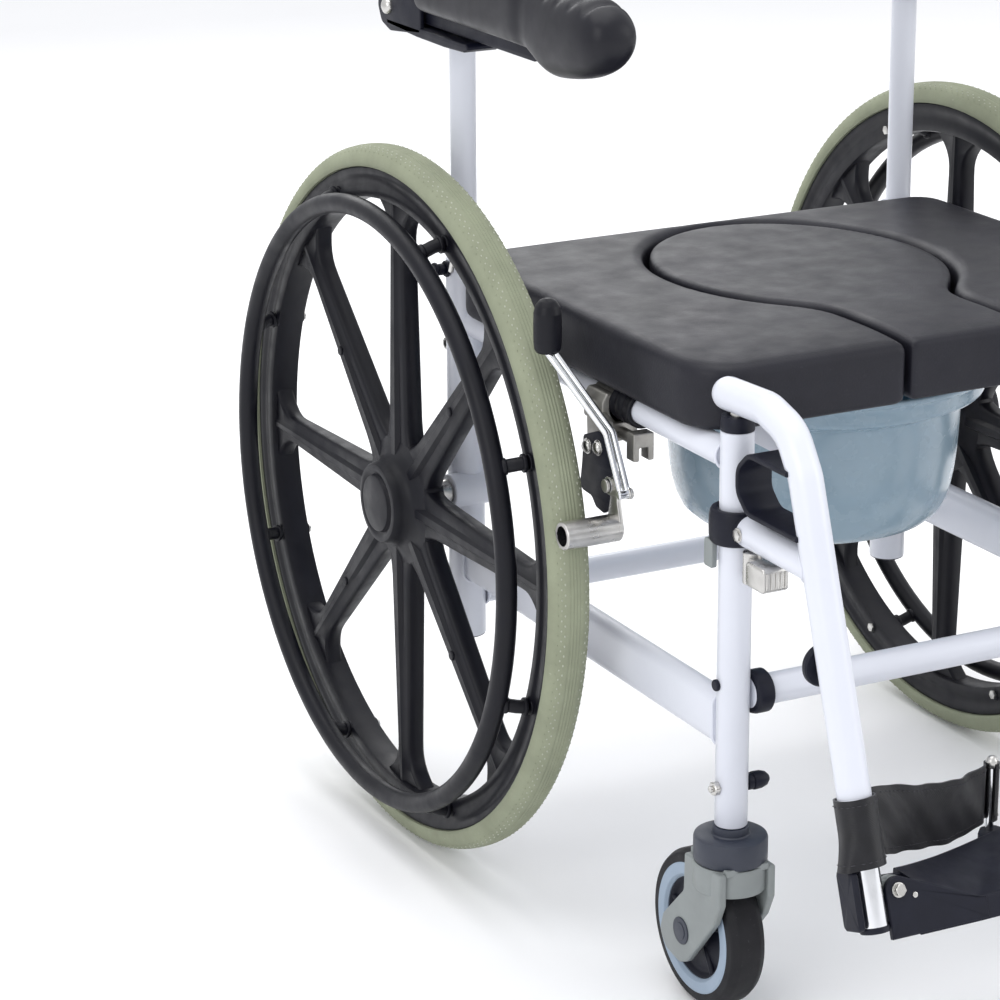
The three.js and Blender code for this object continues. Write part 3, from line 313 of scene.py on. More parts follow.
class Shell:
    """Collects closed shells for one piece."""

    def __init__(self):
        self.v, self.f, self.mi, self.mats = [], [], [], []

    def add(self, verts, faces, mat):
        if mat not in self.mats:
            self.mats.append(mat)
        k, base = self.mats.index(mat), len(self.v)
        self.v += [tuple(p) for p in verts]
        self.f += [tuple(i + base for i in f) for f in faces]
        self.mi += [k] * len(faces)
        return self

    def lathe(self, prof, mat, axis='Z', at=(0, 0, 0), n=64, closed=False, arc=None):
        """prof: [(radius, height along the axis)], ends on the axis or closes on itself."""
        A = {'X': (Vector((0, 1, 0)), Vector((0, 0, 1)), Vector((1, 0, 0))),
             'Y': (Vector((0, 0, 1)), Vector((1, 0, 0)), Vector((0, 1, 0))),
             'Z': (Vector((1, 0, 0)), Vector((0, 1, 0)), Vector((0, 0, 1)))}[axis] if isinstance(axis, str) else axis
        at = Vector(at)
        verts, rows = [], []
        for r, h in prof:
            if r < 1e-6 and not closed:
                rows.append([len(verts)])
                verts.append(at + A[2] * h)
            else:
                rows.append(list(range(len(verts), len(verts) + n)))
                for i in range(n):
                    q = 2 * math.pi * i / n
                    verts.append(at + (A[0] * math.cos(q) + A[1] * math.sin(q)) * r + A[2] * h)
        faces = []
        pairs = list(zip(rows, rows[1:])) + ([(rows[-1], rows[0])] if closed else [])
        for a, b in pairs:
            for i in range(n):
                j = (i + 1) % n
                if len(a) == 1 and len(b) == 1:
                    continue
                if len(a) == 1:
                    faces.append((a[0], b[i], b[j]))
                elif len(b) == 1:
                    faces.append((a[i], b[0], a[j]))
                else:
                    faces.append((a[i], b[i], b[j], a[j]))
        return self.add(verts, faces, mat)

    def rod(self, a, b, r, mat, n=32, edge=None, r2=None):
        """Round bar from a to b with softened ends."""
        a, b = Vector(a), Vector(b)
        d = (b - a)
        L = d.length
        z = d.normalized()
        x = z.orthogonal().normalized()
        y = z.cross(x)
        r2 = r if r2 is None else r2
        e = min(edge if edge is not None else 0.12 * min(r, r2), 0.45 * L, 0.6 * r)
        prof = [(0, 0), (r - e, 0)]
        for j in (1, 2, 3):
            q = math.pi / 2 * j / 3
            prof.append((r - e + e * math.sin(q), e - e * math.cos(q)))
        for j in (0, 1, 2, 3):
            q = math.pi / 2 * j / 3
            prof.append((r2 - e + e * math.cos(q), L - e + e * math.sin(q)))
        prof.append((0, L))
        return self.lathe(prof, mat, (x, y, z), a, n)

    def sweep(self, pts, r, mat, n=28, caps=('flat', 'flat'), section=None, up=None):
        """Round tube (or a section [(u, v)]) along points; v follows up when given."""
        pts = [Vector(p) for p in pts]
        k = len(pts)
        tan = []
        for i in range(k):
            if i == 0:
                t = pts[1] - pts[0]
            elif i == k - 1:
                t = pts[-1] - pts[-2]
            else:
                t = (pts[i] - pts[i - 1]).normalized() + (pts[i + 1] - pts[i]).normalized()
            tan.append(t.normalized())
        if up is not None:
            frames = []
            for i in range(k):
                u3 = Vector(up[i] if isinstance(up, list) else up)
                v = (u3 - tan[i] * u3.dot(tan[i])).normalized()
                frames.append((v.cross(tan[i]).normalized(), v))
        else:
            x = tan[0].orthogonal().normalized()
            frames = []
            for i in range(k):
                x = (x - tan[i] * x.dot(tan[i])).normalized()
                frames.append((x, tan[i].cross(x)))
        rr = r if isinstance(r, (list, tuple)) else [r] * k
        if section is None:
            sec = [(math.cos(2 * math.pi * i / n), math.sin(2 * math.pi * i / n)) for i in range(n)]
        else:
            sec, n = section, len(section)
            rr = [1.0] * k if not isinstance(r, (list, tuple)) else r
        rings = []
        for i in range(k):
            x, y = frames[i]
            rings.append([pts[i] + x * (u * rr[i]) + y * (v * rr[i]) for u, v in sec])
        # caps: 'round' adds a dome, 'flat' a softened edge
        def cap(i, kind, sign):
            x, y = frames[i]
            t = tan[i] * sign
            extra = []
            if kind == 'round':
                for j in (1, 2, 3, 4, 5):
                    q = math.pi / 2 * j / 6
                    extra.append([pts[i] + (x * u + y * v) * (rr[i] * math.cos(q)) + t * (rr[i] * math.sin(q)) for u, v in sec])
                tip = pts[i] + t * rr[i]
            else:
                e = 0.10 * (rr[i] if section is None else 3.0)
                s = (rr[i] - e) if section is None else (1 - 0.06)
                extra.append([pts[i] + (x * u + y * v) * s + t * (e * 0.9) for u, v in sec])
                tip = pts[i] + t * (e * 0.9)
            return extra, tip
        e0, tip0 = cap(0, caps[0], -1)
        e1, tip1 = cap(k - 1, caps[1], 1)
        allr = list(reversed(e0)) + rings + e1
        verts = [p for ring in allr for p in ring] + [tip0, tip1]
        faces = []
        for a in range(len(allr) - 1):
            for i in range(n):
                j = (i + 1) % n
                faces.append((a * n + i, a * n + j, (a + 1) * n + j, (a + 1) * n + i))
        t0, t1 = len(verts) - 2, len(verts) - 1
        last = (len(allr) - 1) * n
        for i in range(n):
            j = (i + 1) % n
            faces.append((t0, j, i))
            faces.append((t1, last + i, last + j))
        return self.add(verts, faces, mat)

    def loop(self, pts, r, mat, n=20):
        """Closed round ring through points."""
        pts = [Vector(p) for p in pts]
        k = len(pts)
        c = sum(pts, Vector()) / k
        verts, faces = [], []
        for i in range(k):
            t = (pts[(i + 1) % k] - pts[i - 1]).normalized()
            x = (pts[i] - c)
            x = (x - t * x.dot(t)).normalized()
            y = t.cross(x)
            for j in range(n):
                q = 2 * math.pi * j / n
                verts.append(pts[i] + x * (r * math.cos(q)) + y * (r * math.sin(q)))
        for i in range(k):
            for j in range(n):
                a, b = i * n, ((i + 1) % k) * n
                j2 = (j + 1) % n
                faces.append((a + j, a + j2, b + j2, b + j))
        return self.add(verts, faces, mat)

    def prism(self, poly, plane, t0, t1, mat, edge=1.0, corner=0.0, steps=3, edge2=None, n=5):
        """Plate with rounded edges; poly in the plane's axes, thickness t0..t1 along its normal."""
        A = PLANES[plane]
        if plane == 'XZ':
            t0, t1 = -t1, -t0
        if area2(poly) < 0:
            poly = list(reversed(poly))
            if isinstance(corner, (list, tuple)):
                corner = list(reversed(corner))
        if corner or isinstance(corner, (list, tuple)):
            poly = fillet2(poly, corner, n)
        edge2 = edge if edge2 is None else edge2
        loops = []
        for j in range(steps + 1):
            q = math.pi / 2 * j / steps
            loops.append((edge * (1 - math.sin(q)), t0 + edge * (1 - math.cos(q))))
        for j in range(steps + 1):
            q = math.pi / 2 * j / steps
            loops.append((edge2 * (1 - math.cos(q)), t1 - edge2 * (1 - math.sin(q))))
        verts, k = [], len(poly)
        for ins, t in loops:
            pl = offset2(poly, ins) if ins > 1e-6 else poly
            verts += [A[0] * p[0] + A[1] * p[1] + A[2] * t for p in pl]
        faces = []
        for a in range(len(loops) - 1):
            for i in range(k):
                j = (i + 1) % k
                faces.append((a * k + i, a * k + j, (a + 1) * k + j, (a + 1) * k + i))
        first = [verts[i] for i in range(k)]
        tri = tessellate_polygon([[Vector((p.dot(A[0]), p.dot(A[1]), 0)) for p in first]])
        faces += [tuple(reversed(t)) for t in tri]
        base = (len(loops) - 1) * k
        lastp = [verts[base + i] for i in range(k)]
        tri = tessellate_polygon([[Vector((p.dot(A[0]), p.dot(A[1]), 0)) for p in lastp]])
        faces += [tuple(base + i for i in t) for t in tri]
        return self.add(verts, faces, mat)

    def loft(self, rings, mat, cap=True):
        """Closed skin through rings of equal point counts."""
        n = len(rings[0])
        verts = [Vector(p) for ring in rings for p in ring]
        faces = []
        for a in range(len(rings) - 1):
            for i in range(n):
                j = (i + 1) % n
                faces.append((a * n + i, a * n + j, (a + 1) * n + j, (a + 1) * n + i))
        if cap:
            for row, flip in ((0, True), (len(rings) - 1, False)):
                c = sum((Vector(p) for p in rings[row]), Vector()) / n
                verts.append(c)
                ci = len(verts) - 1
                for i in range(n):
                    j = (i + 1) % n
                    faces.append((ci, row * n + (j if flip else i), row * n + (i if flip else j)))
        return self.add(verts, faces, mat)

    def hexnut(self, a, b, r, mat, turn=0.0):
        a, b = Vector(a), Vector(b)
        z = (b - a).normalized()
        x = z.orthogonal().normalized()
        y = z.cross(x)
        L = (b - a).length
        rings = []
        for s, h in ((0.90, 0.0), (1.0, 0.12 * L), (1.0, 0.86 * L), (0.88, L)):
            rings.append([a + z * h + (x * math.cos(q + turn) + y * math.sin(q + turn)) * (r * s)
                          for q in [math.pi / 3 * (i // 2) + (0.06 if i % 2 else -0.06) for i in range(12)]])
        return self.loft(rings, mat)

    def build(self, name, mirror=False, sharp=40.0, weld=0.0):
        verts = [W((-p[0] if mirror else p[0], p[1], p[2])) for p in self.v]
        faces = [tuple(reversed(f)) for f in self.f] if mirror else self.f
        me = bpy.data.meshes.new(name)
        me.from_pydata(verts, [], faces)
        for m in self.mats:
            me.materials.append(m)
        me.polygons.foreach_set("material_index", self.mi)
        me.update()
        bm = bmesh.new()
        bm.from_mesh(me)
        if weld > 0:
            bmesh.ops.remove_doubles(bm, verts=bm.verts, dist=weld)
        bmesh.ops.dissolve_degenerate(bm, dist=1e-7, edges=bm.edges)
        bmesh.ops.recalc_face_normals(bm, faces=bm.faces)
        for f in bm.faces:
            f.smooth = True
        lim = math.radians(sharp)
        for e in bm.edges:
            if len(e.link_faces) == 2:
                e.smooth = e.calc_face_angle(0.0) < lim
            else:
                e.smooth = False
        bm.to_mesh(me)
        bm.free()
        o = bpy.data.objects.new(name, me)
        bpy.context.scene.collection.objects.link(o)
        return o


def stand(obj, body, slot, *nodes):
    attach(obj, body)
    if nodes:
        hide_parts(*nodes)
    return obj


def both(name, shell, body, slot, *nodes, sharp=40.0):
    """The right piece and its mirror image; {} in names stands for the side."""
    out = []
    for side, mir in (("right", False), ("left", True)):
        o = shell.build(name.format(side), mirror=mir, sharp=sharp)
        stand(o, body.format(side), slot, *[n.format(side) for n in nodes])
        out.append(o)
    return out


def applied(o):
    """Apply an object's modifiers."""
    dg = bpy.context.evaluated_depsgraph_get()
    me = bpy.data.meshes.new_from_object(o.evaluated_get(dg))
    old = o.data
    o.modifiers.clear()
    o.data = me
    bpy.data.meshes.remove(old)
    return o


# ------------------------------------------------------------------ frame dimensions
PX, PY, PR = -221.0, -440.0, 12.7
RX, RY, RR = -219.0, 10.0, 16.0
RAILZ = 451.0

exec_order = []

# ---- front posts
s = Shell()
s.lathe([(8.3, 159.6), (12.2, 159.6), (12.7, 160.2), (12.7, 472.4), (12.1, 473.0), (9.4, 473.0), (9.4, 440), (8.3, 438)], POWDER, 'Z', (PX, PY, 0), 48, closed=True)
# weld beads where the rails meet the post
s.loop([(PX + 11.3 * math.cos(q), PY + 11.5 + 0.9 * abs(math.cos(q)), RAILZ + 11.3 * math.sin(q)) for q in [2 * math.pi * i / 40 for i in range(40)]], 1.3, POWDER, 10)
both("front_post_{}_v", s, "frame", "frame_white", "front_post_{}")

s = Shell()
s.lathe([(6.6, 440), (9, 440), (9, 473.3), (12.7, 473.3), (13.0, 474.2), (12.9, 478), (12.3, 483), (11.8, 484.5), (6.6, 484.6)], NAVY, 'Z', (PX, PY, 0), 40, closed=True)
both("pivot_bush_{}_v", s, "frame", "dark_plastic", "front_post_bush_{}")

# ---- upper side rails
s = Shell()
s.rod((PX, PY + 12.4, RAILZ), (RX, RY - 15.6, RAILZ), 11.0, POWDER, 40, edge=0.4)
both("upper_rail_{}_v", s, "frame", "frame_white", "upper_side_rail_{}")

# ---- lower oval rails
s = Shell()
sec = []
for i in range(40):
    t = 2 * math.pi * i / 40
    u, v = 10 * math.cos(t), 10 * math.sin(t)
    sec.append((u, v + (11.5 if math.sin(t) > 0.001 else -11.5 if math.sin(t) < -0.001 else 0)))
s.sweep([(PX, PY + 11.5, 241.5), (RX, RY - 15, 241.5)], 1, POWDER, section=sec, up=(0, 0, 1))
# weld fillets at both ends
for y0, rad in ((PY + 11.6, 1.6), (RY - 15.4, 1.6)):
    s.loop([(PX + 10.2 * math.cos(q), y0 + (1.2 if y0 < -200 else -1.2) * abs(math.cos(q)), 241.5 + (11.5 if math.sin(q) > 0 else -11.5) + 10.2 * math.sin(q)) for q in [2 * math.pi * i / 48 for i in range(48)]], rad, POWDER, 8)
both("lower_rail_{}_v", s, "frame", "frame_white", "lower_side_rail_{}")

# ---- rear posts with axle boss, cap below and collar above
s = Shell()
s.lathe([(11.4, 386), (11.4, 504.4), (12.0, 505), (15.3, 505), (16, 504.3), (16, 169), (15.4, 168.2), (0, 168)], POWDER, 'Z', (RX, RY, 0), 56)
s.add([(RX + 11.4 * math.cos(2 * math.pi * i / 56), RY + 11.4 * math.sin(2 * math.pi * i / 56), 386) for i in range(56)] + [(RX, RY, 386)],
      [(56, i, (i + 1) % 56) for i in range(56)], POWDER)
s.lathe([(6.5, -199), (14.2, -199), (15, -199.8), (15, -240.2), (14.2, -241), (6.5, -241)], POWDER, 'X', (0, 0, 303), 40, closed=True)
o_rp = both("rear_post_{}_v", s, "frame", "frame_white", "rear_post_{}")

# plastic end cap, push pin and its housing: small trim on the rear post
s = Shell()
s.lathe([(0, 166.5), (13.5, 166.5), (15.4, 167.6), (15.4, 168.8), (0, 168.9)], NAVY, 'Z', (RX, RY, 0), 40)
s.rod((RX - 15.4, RY, 497), (RX - 19, RY, 497), 7.0, NAVY, 24, edge=1.2)
s.rod((RX - 19, RY, 497), (RX - 26, RY, 497), 5.0, NAVY, 24, edge=2.0)
s.rod((RX - 26, RY, 497), (RX - 29.5, RY, 497), 6.5, NAVY, 24, edge=1.5)
both("push_pin_{}_v", s, "frame", "dark_plastic")
s = Shell()
s.prism([(RY + 15.5, 412), (RY + 28, 414), (RY + 28, 436), (RY + 15.5, 438)], 'YZ', RX - 3, RX + 3, POWDER, edge=0.8, corner=3)
s.rod((RX - 8, RY + 22, 425), (RX + 8, RY + 22, 425), 3.2, NICKEL, 16)
s.rod((RX - 8, RY + 22, 425), (RX - 3, RY + 22, 425), 5.2, NICKEL, 20)
both("rear_tab_{}_v", s, "frame", "frame_white")

# ---- wheel axles
s = Shell()
s.rod((-303, 0, 303), (-196, 0, 303), 6, NICKEL, 28)
s.rod((-258.6, 0, 303), (-241.4, 0, 303), 11, NICKEL, 36, edge=0.8)
s.rod((-198.8, 0, 303), (-196.6, 0, 303), 10.4, NICKEL, 36, edge=0.4)
s.hexnut((-196.6, 0, 303), (-190.2, 0, 303), 10.4, NICKEL)
both("axle_{}_v", s, "frame", "bright_metal", "wheel_axle_{}")

# ---- cross tubes
s = Shell()
s.rod((-208.0, PY, 264), (208.0, PY, 264), 12, POWDER, 44, edge=0.4)
for sg in (-1, 1):
    ax = 'X'
    s.lathe([(12.1, sg * 193.0), (15.6, sg * 193.0), (16.9, sg * 194.4), (17.0, sg * 197), (17.0, sg * 204), (16.2, sg * 206.6), (15.2, sg * 207.5), (12.1, sg * 207.5)], NAVY, 'X', (0, PY, 264), 44, closed=True)
fc = s.build("front_cross_tube_v")
stand(fc, "frame", "frame_white", "front_cross_tube")
s = Shell()
s.rod((-203.5, RY, 205), (203.5, RY, 205), 12, POWDER, 44, edge=0.4)
for sg in (-1, 1):
    s.loop([(sg * 203.4, RY + 12.4 * math.cos(q), 205 + 12.4 * math.sin(q)) for q in [2 * math.pi * i / 40 for i in range(40)]], 1.2, POWDER, 8)
stand(s.build("rear_lower_cross_v"), "frame", "frame_white", "rear_lower_cross_tube")
s = Shell()
s.rod((-203.5, RY, 425), (203.5, RY, 425), 12, POWDER, 44, edge=0.4)
for sg in (-1, 1):
    s.loop([(sg * 203.4, RY + 12.4 * math.cos(q), 425 + 12.4 * math.sin(q)) for q in [2 * math.pi * i / 40 for i in range(40)]], 1.2, POWDER, 8)
stand(s.build("rear_upper_cross_v"), "frame", "frame_white", "rear_upper_cross_tube")

# bolts and knobs on the front posts; bumper discs on the posts' inner side
s = Shell()
s.hexnut((PX - 12.2, PY, 191), (PX - 17.0, PY, 191), 5.6, NICKEL)
s.rod((PX - 17, PY, 191), (PX - 19.5, PY, 191), 2.6, NICKEL, 16)
s.rod((PX + 12.4, PY, 191), (PX + 18, PY, 191), 6.5, NAVY, 24, edge=1.0)
s.lathe([(0, PX + 17.8), (6.8, PX + 17.8), (7.2, PX + 19), (7.0, PX + 25), (5.6, PX + 29.5), (3.0, PX + 32.2), (0, PX + 33)], NAVY, 'X', (0, PY, 191), 30)
s.rod((PX - 12.0, PY + 2, 274), (PX - 15.6, PY + 2, 274), 4.6, NAVY, 20, edge=1.2)
both("post_bolts_{}_v", s, "frame", "bright_metal")

# ---- back canes and grips
route = bend3([(RX, RY, 387), (RX, RY, 962), (RX, RY + 150, 962)], 52, 14)
s = Shell()
s.sweep(route, 11, POWDER, 36)
both("back_cane_{}_v", s, "frame", "frame_white", "back_cane_{}")
s = Shell()
prof = [(11.5, 61.0), (17.6, 61.0), (18.9, 62.2), (18.9, 65.6), (17.8, 67.2), (15.6, 68.4)]
for i in range(9):
    y = 70 + i * 8.6
    prof += [(15.3, y), (15.9, y + 1.6), (16.0, y + 4.4), (15.3, y + 6.4)]
prof += [(15.4, 149), (15.8, 152), (15.2, 156), (12.5, 157.8), (0, 158), ]
prof2 = prof + []
inner = [(0, 151.0), (11.5, 151.0)]
s.lathe([(11.5, 61.0)] + prof[1:] , NYLON, 'Y', (RX, RY, 962), 40)
s.lathe([(0, 150.6), (11.4, 150.6), (11.4, 61.05)], NYLON, 'Y', (RX, RY, 962), 40)
both("push_grip_{}_v", s, "frame", "dark_plastic", "push_grip_{}")

# ---- padded back panel
def back_panel():
    z0, z1 = 757.0, 903.0
    sh = Shell()
    # outer skin in plan: sleeves round the canes and a bowed panel between them
    n = 56
    rings = []
    levels = 24
    for k in range(levels + 1):
        t = k / levels
        z = z0 + 3 + (z1 - z0 - 6) * t
        e = 1.0 - 0.55 * max(0.0, 1 - t / 0.06) ** 2 - 0.55 * max(0.0, 1 - (1 - t) / 0.06) ** 2
        puff = 3.2 * math.sin(math.pi * t) ** 0.6
        pts = []
        cols = 44
        for i in range(cols + 1):          # front of the panel, from right cane to left cane
            u = -1 + 2 * i / cols
            x = 222.0 * u
            edge_in = min(1.0, (1 - abs(u)) / 0.07)
            y = RY - 11.5 - 6.5 * e * edge_in ** 0.5 - puff * max(0.0, math.cos(u * math.pi / 2)) * 0.9
            for c in (-0.34, 0.34):        # two sewn channels
                y += 2.3 * math.exp(-((u - c) / 0.018) ** 2)
            pts.append((x, y, z))
        for i in range(1, 12):             # round the left sleeve
            q = -math.pi / 2 + math.pi * i / 12
            pts.append((222.0 - 2 + 14.4 * math.cos(q), RY + 14.0 * math.sin(q) * (0.9 if q < 0 else 1), z))
        for i in range(cols + 1):          # back of the panel
            u = 1 - 2 * i / cols
            x = 222.0 * u
            edge_in = min(1.0, (1 - abs(u)) / 0.10)
            y = RY + 14.2 - 9.2 * edge_in ** 0.9 + 1.4 * math.sin(9 * u) * math.sin(math.pi * t)
            pts.append((x, y, z))
        for i in range(1, 12):             # round the right sleeve
            q = math.pi / 2 + math.pi * i / 12
            pts.append((-222.0 + 2 + 14.4 * math.cos(q), RY + 14.0 * math.sin(q) * (0.9 if q > math.pi else 1), z))
        rings.append(pts)
    sh.loft(rings, VINYL)
    return sh
bp = back_panel().build("back_panel_v", sharp=60)
stand(bp, "frame", "back_fabric", "backrest")

# ------------------------------------------------------------------ seat
SEAT_W2, SF, SB = 237.8, -418.0, -10.0
SZ0, SZ1 = 463.0, 515.0


def seat_outline(inset=0.0, n=10):
    w = SEAT_W2 - inset
    f, b = SF + inset, SB - inset
    pts = []
    def arc(cx, cy, r, a0):
        for i in range(n + 1):
            a = a0 + math.pi / 2 * i / n
            pts.append((cx + r * math.cos(a), cy + r * math.sin(a)))
    rb, rf = 25 - inset * 0.5, 40 - inset * 0.5
    arc(w - rb, b - rb, rb, 0)
    arc(-w + rb, b - rb, rb, math.pi / 2)
    arc(-w + rf, f + rf, rf, math.pi)
    arc(w - rf, f + rf, rf, 1.5 * math.pi)
    return pts


def keyhole(d, front, n=40):
    a, b, neck = 119 + d, 144 + d, 56 + d
    right = []
    for i in range(n + 1):
        t = math.pi / 2 - (math.pi / 2 + 0.80) * i / n
        right.append((a * math.cos(t), -170 + b * math.sin(t)))
    x1, y1 = right[-1]
    # smooth S from the oval into the neck
    tx, ty = -a * math.sin(-0.80), b * math.cos(-0.80)
    L = 46.0
    dirx, diry = -abs(math.sin(0.80)) * a, -math.cos(0.80) * b
    dl = math.hypot(dirx, diry)
    p0, p3 = Vector((x1, y1)), Vector((neck, y1 - 62))
    p1 = p0 + Vector((dirx / dl, diry / dl)) * 24
    p2 = p3 + Vector((0, 30))
    for i in range(1, 15):
        t = i / 14
        q = p0 * (1 - t) ** 3 + p1 * 3 * t * (1 - t) ** 2 + p2 * 3 * t * t * (1 - t) + p3 * t ** 3
        right.append((q.x, q.y))
    for i in range(1, 8):
        right.append((neck, p3.y + (front - p3.y) * i / 7))
    left = [(-x, y) for x, y in reversed(right[1:])]
    return right + left


def clip_front(poly, y):
    return [(px, max(py, y)) for px, py in poly]


def remeshed(o, voxel, smooth=2):
    m = o.modifiers.new("r", 'REMESH')
    m.mode = 'VOXEL'
    m.voxel_size = voxel
    m.use_smooth_shade = True
    applied(o)
    if smooth:
        m = o.modifiers.new("s", 'SMOOTH')
        m.factor, m.iterations = 0.5, smooth
        applied(o)
    return o


def sculpt(o, fn):
    """Move vertices in millimetre layout coordinates."""
    for v in o.data.vertices:
        x, y, z = v.co.x * 1000, v.co.y * 1000 - Y0, v.co.z * 1000
        x, y, z = fn(x, y, z)
        v.co = W((x, y, z))
    o.data.update()
    return o


def seat_height(x, y):
    """Gentle crown, slightly dished across the middle, rolled down to the front."""
    u, v = abs(x) / SEAT_W2, (y - SF) / (SB - SF)
    z = 1.2 * math.cos(min(u, 1) * math.pi / 2) ** 0.5 - 2.2 * math.exp(-((u) / 0.55) ** 2) * math.sin(math.pi * min(max(v, 0), 1))
    z -= 3.0 * max(0.0, 1 - (y - SF) / 60.0) ** 2
    return z


def seat_sculpt(x, y, z):
    if z > SZ1 - 18:
        z += seat_height(x, y) * min(1.0, (z - (SZ1 - 18)) / 14)
    return x, y, z


out = seat_outline()
key = keyhole(2.5, SF - 20)
# U-shaped cushion: outer outline, in through the neck, round the keyhole and back out
def u_outline(d, inset):
    o1 = seat_outline(inset)
    k = clip_front(keyhole(d, SF - 20), SF + inset)
    kk = []
    for p in k:
        if not kk or (Vector(p) - Vector(kk[-1])).length > 0.3:
            kk.append(p)
    # keyhole() runs from the back centre down the left(+x) side to the front, then up the right side
    half = [p for p in kk if p[1] > SF + inset + 0.01]
    right_side = [p for p in half if p[0] >= 0]
    left_side = [p for p in half if p[0] < 0]
    nx = 56 + d
    ring = []
    # outline starts at +x back corner, goes to -x back, -x front, +x front (counter-clockwise)
    split = [p for p in o1]
    k = len(split)
    # find the front edge between the -x front corner and the +x front corner
    n = 10
    a = split[: 3 * (n + 1)]
    b = split[3 * (n + 1):]
    # along the front edge from -x corner to the neck, up the -x side of the keyhole, down the +x side
    lo = [(-nx, SF + inset)]
    up = sorted(left_side, key=lambda p: kk.index(p), reverse=True)
    # kk order: back centre -> +x side -> front (+x) -> front (-x) -> -x side -> back
    minus = [p for p in kk if p[0] < 0 and p[1] > SF + inset + 0.01]
    plus = [p for p in kk if p[0] >= 0 and p[1] > SF + inset + 0.01]
    ring = a + lo + minus + plus + [(nx, SF + inset)] + b
    return ring


def seat_body():
    sh = Shell()
    ring = u_outline(2.5, 0.0)
    sh.prism(ring, 'XY', SZ0, SZ1, SEAT, edge=7.0, edge2=8.5, steps=5)
    return sh


seat = seat_body().build("seat_cushion_v", sharp=180)
remeshed(seat, 0.0032, 3)
sculpt(seat, seat_sculpt)
seat.data.materials.clear()
seat.data.materials.append(SEAT)
stand(seat, "frame", "seat_skin", "seat")

sh = Shell()
pad_ring = clip_front(keyhole(-2.5, SF), SF)
cl = []
for p in pad_ring:
    if not cl or (Vector(p) - Vector(cl[-1])).length > 0.3:
        cl.append(p)
sh.prism(cl, 'XY', SZ0 + 2.0, SZ1, SEAT, edge=5.0, edge2=4.5, steps=5)
pad = sh.build("keyhole_pad_v", sharp=180)
remeshed(pad, 0.0028, 2)
sculpt(pad, seat_sculpt)
pad.data.materials.clear()
pad.data.materials.append(SEAT)
stand(pad, "keyhole_pad", "seat_skin", "keyhole_pad")

# ---- pail rails
s = Shell()
pts = [(-156, 431), (-145.5, 431), (-145.5, 433.3), (-153.5, 433.3), (-153.5, 459.5), (-88, 459.5), (-88, 462), (-156, 462)]
s.prism(pts, 'XZ', -392, -20, POWDER, edge=0.5, corner=0.6, n=2)
for y in (-330, -80):
    s.prism([(-213, 459.0), (-150, 459.0), (-150, 461.8), (-213, 461.8)], 'XZ', y - 9, y + 9, POWDER, edge=0.4)
both("pail_rail_{}_v", s, "frame", "frame_white", "pail_rail_{}")

# ------------------------------------------------------------------ pail
BY = -197.0
s = Shell()
outer = [(0, 303), (70, 303), (90, 306), (101, 310.5), (108.5, 317), (113.5, 327), (116.5, 338), (118.6, 350), (120.4, 368), (121.6, 390), (122, 408), (122.8, 411.2),
         (137.6, 418.0), (139.6, 418.8), (141.0, 420.6), (141.4, 423), (142.4, 427.5), (143.6, 432.5), (145, 434.8), (148.6, 435.9), (150, 437.4), (150, 440), (149.2, 441.2), (147.4, 441.5)]
inner = [(146, 439.6), (141.4, 436.6), (138.6, 423.4), (136.8, 421.4), (120, 414.6), (119.2, 411), (118.4, 370), (116, 346), (112, 329), (105, 317.5), (95, 311), (72, 306.4), (0, 306.2)]
s.lathe(outer + inner, PAIL, 'Z', (0, BY, 0), 96)
stand(s.build("pail_v", sharp=50), "pail", "pail_plastic", "pail")

# ------------------------------------------------------------------ rear wheels
X0 = -280.5
AZ = 303.0
random.seed(7)


def tyre_shell():
    s = Shell()
    prof = []
    # crown with fine ribs, from the outer shoulder over the top to the inner shoulder
    def body(x):
        u = abs(x) / 17.4
        return 303 - 15.6 * (1 - math.sqrt(max(0.0, 1 - u ** 2.5)))
    xs = [-17.3 + 34.6 * i / 64 for i in range(65)]
    for x in xs:
        r = body(x)
        g = 0.0
        if abs(x) < 5.6:
            g = 0.55 * (0.5 + 0.5 * math.cos(x * 2 * math.pi / 2.8)) - 0.55
        prof.append((r + g, X0 + x))
    prof = [(285.2, X0 - 13.2), (285.3, X0 - 16.0), (287.0, X0 - 17.1)] + prof + [(287.0, X0 + 17.1), (285.3, X0 + 16.0), (285.2, X0 + 13.2), (276.2, X0 + 8.7), (276.2, X0 - 8.7)]
    s.lathe(prof, TYRE, 'X', (0, 0, AZ), 144, closed=True)
    # moulded dots along both shoulders
    for side in (-1, 1):
        for row, (xx, count, size, ph) in enumerate(((9.0, 220, 1.05, 0.0), (11.4, 220, 0.95, 0.5), (13.6, 220, 0.85, 0.0))):
            for i in range(count):
                q = 2 * math.pi * (i + ph) / count
                x = side * xx
                r = body(x)
                e = 0.05
                nx = (body(x + e) - body(x - e)) / (2 * e)
                nrm = Vector((-nx, 1.0)).normalized()
                c = Vector((X0 + x, r * math.cos(q), AZ + r * math.sin(q)))
                rad = Vector((0, math.cos(q), math.sin(q)))
                out_n = (Vector((1, 0, 0)) * nrm.x + rad * nrm.y).normalized()
                t1 = Vector((0, -math.sin(q), math.cos(q)))
                t2 = out_n.cross(t1)
                base = [c + (t1 * math.cos(k * math.pi / 2.5) * 1.25 + t2 * math.sin(k * math.pi / 2.5) * 0.8) * size - out_n * 0.25 for k in range(5)]
                top = [c + (t1 * math.cos(k * math.pi / 2.5) * 1.0 + t2 * math.sin(k * math.pi / 2.5) * 0.6) * size * 0.7 + out_n * 0.42 for k in range(5)]
                vs = base + top
                fs = [(k, (k + 1) % 5, 5 + (k + 1) % 5, 5 + k) for k in range(5)] + [(5, 6, 7, 8, 9), (4, 3, 2, 1, 0)]
                s.add(vs, fs, TYRE_RIB if row < 2 else TYRE)
    return s


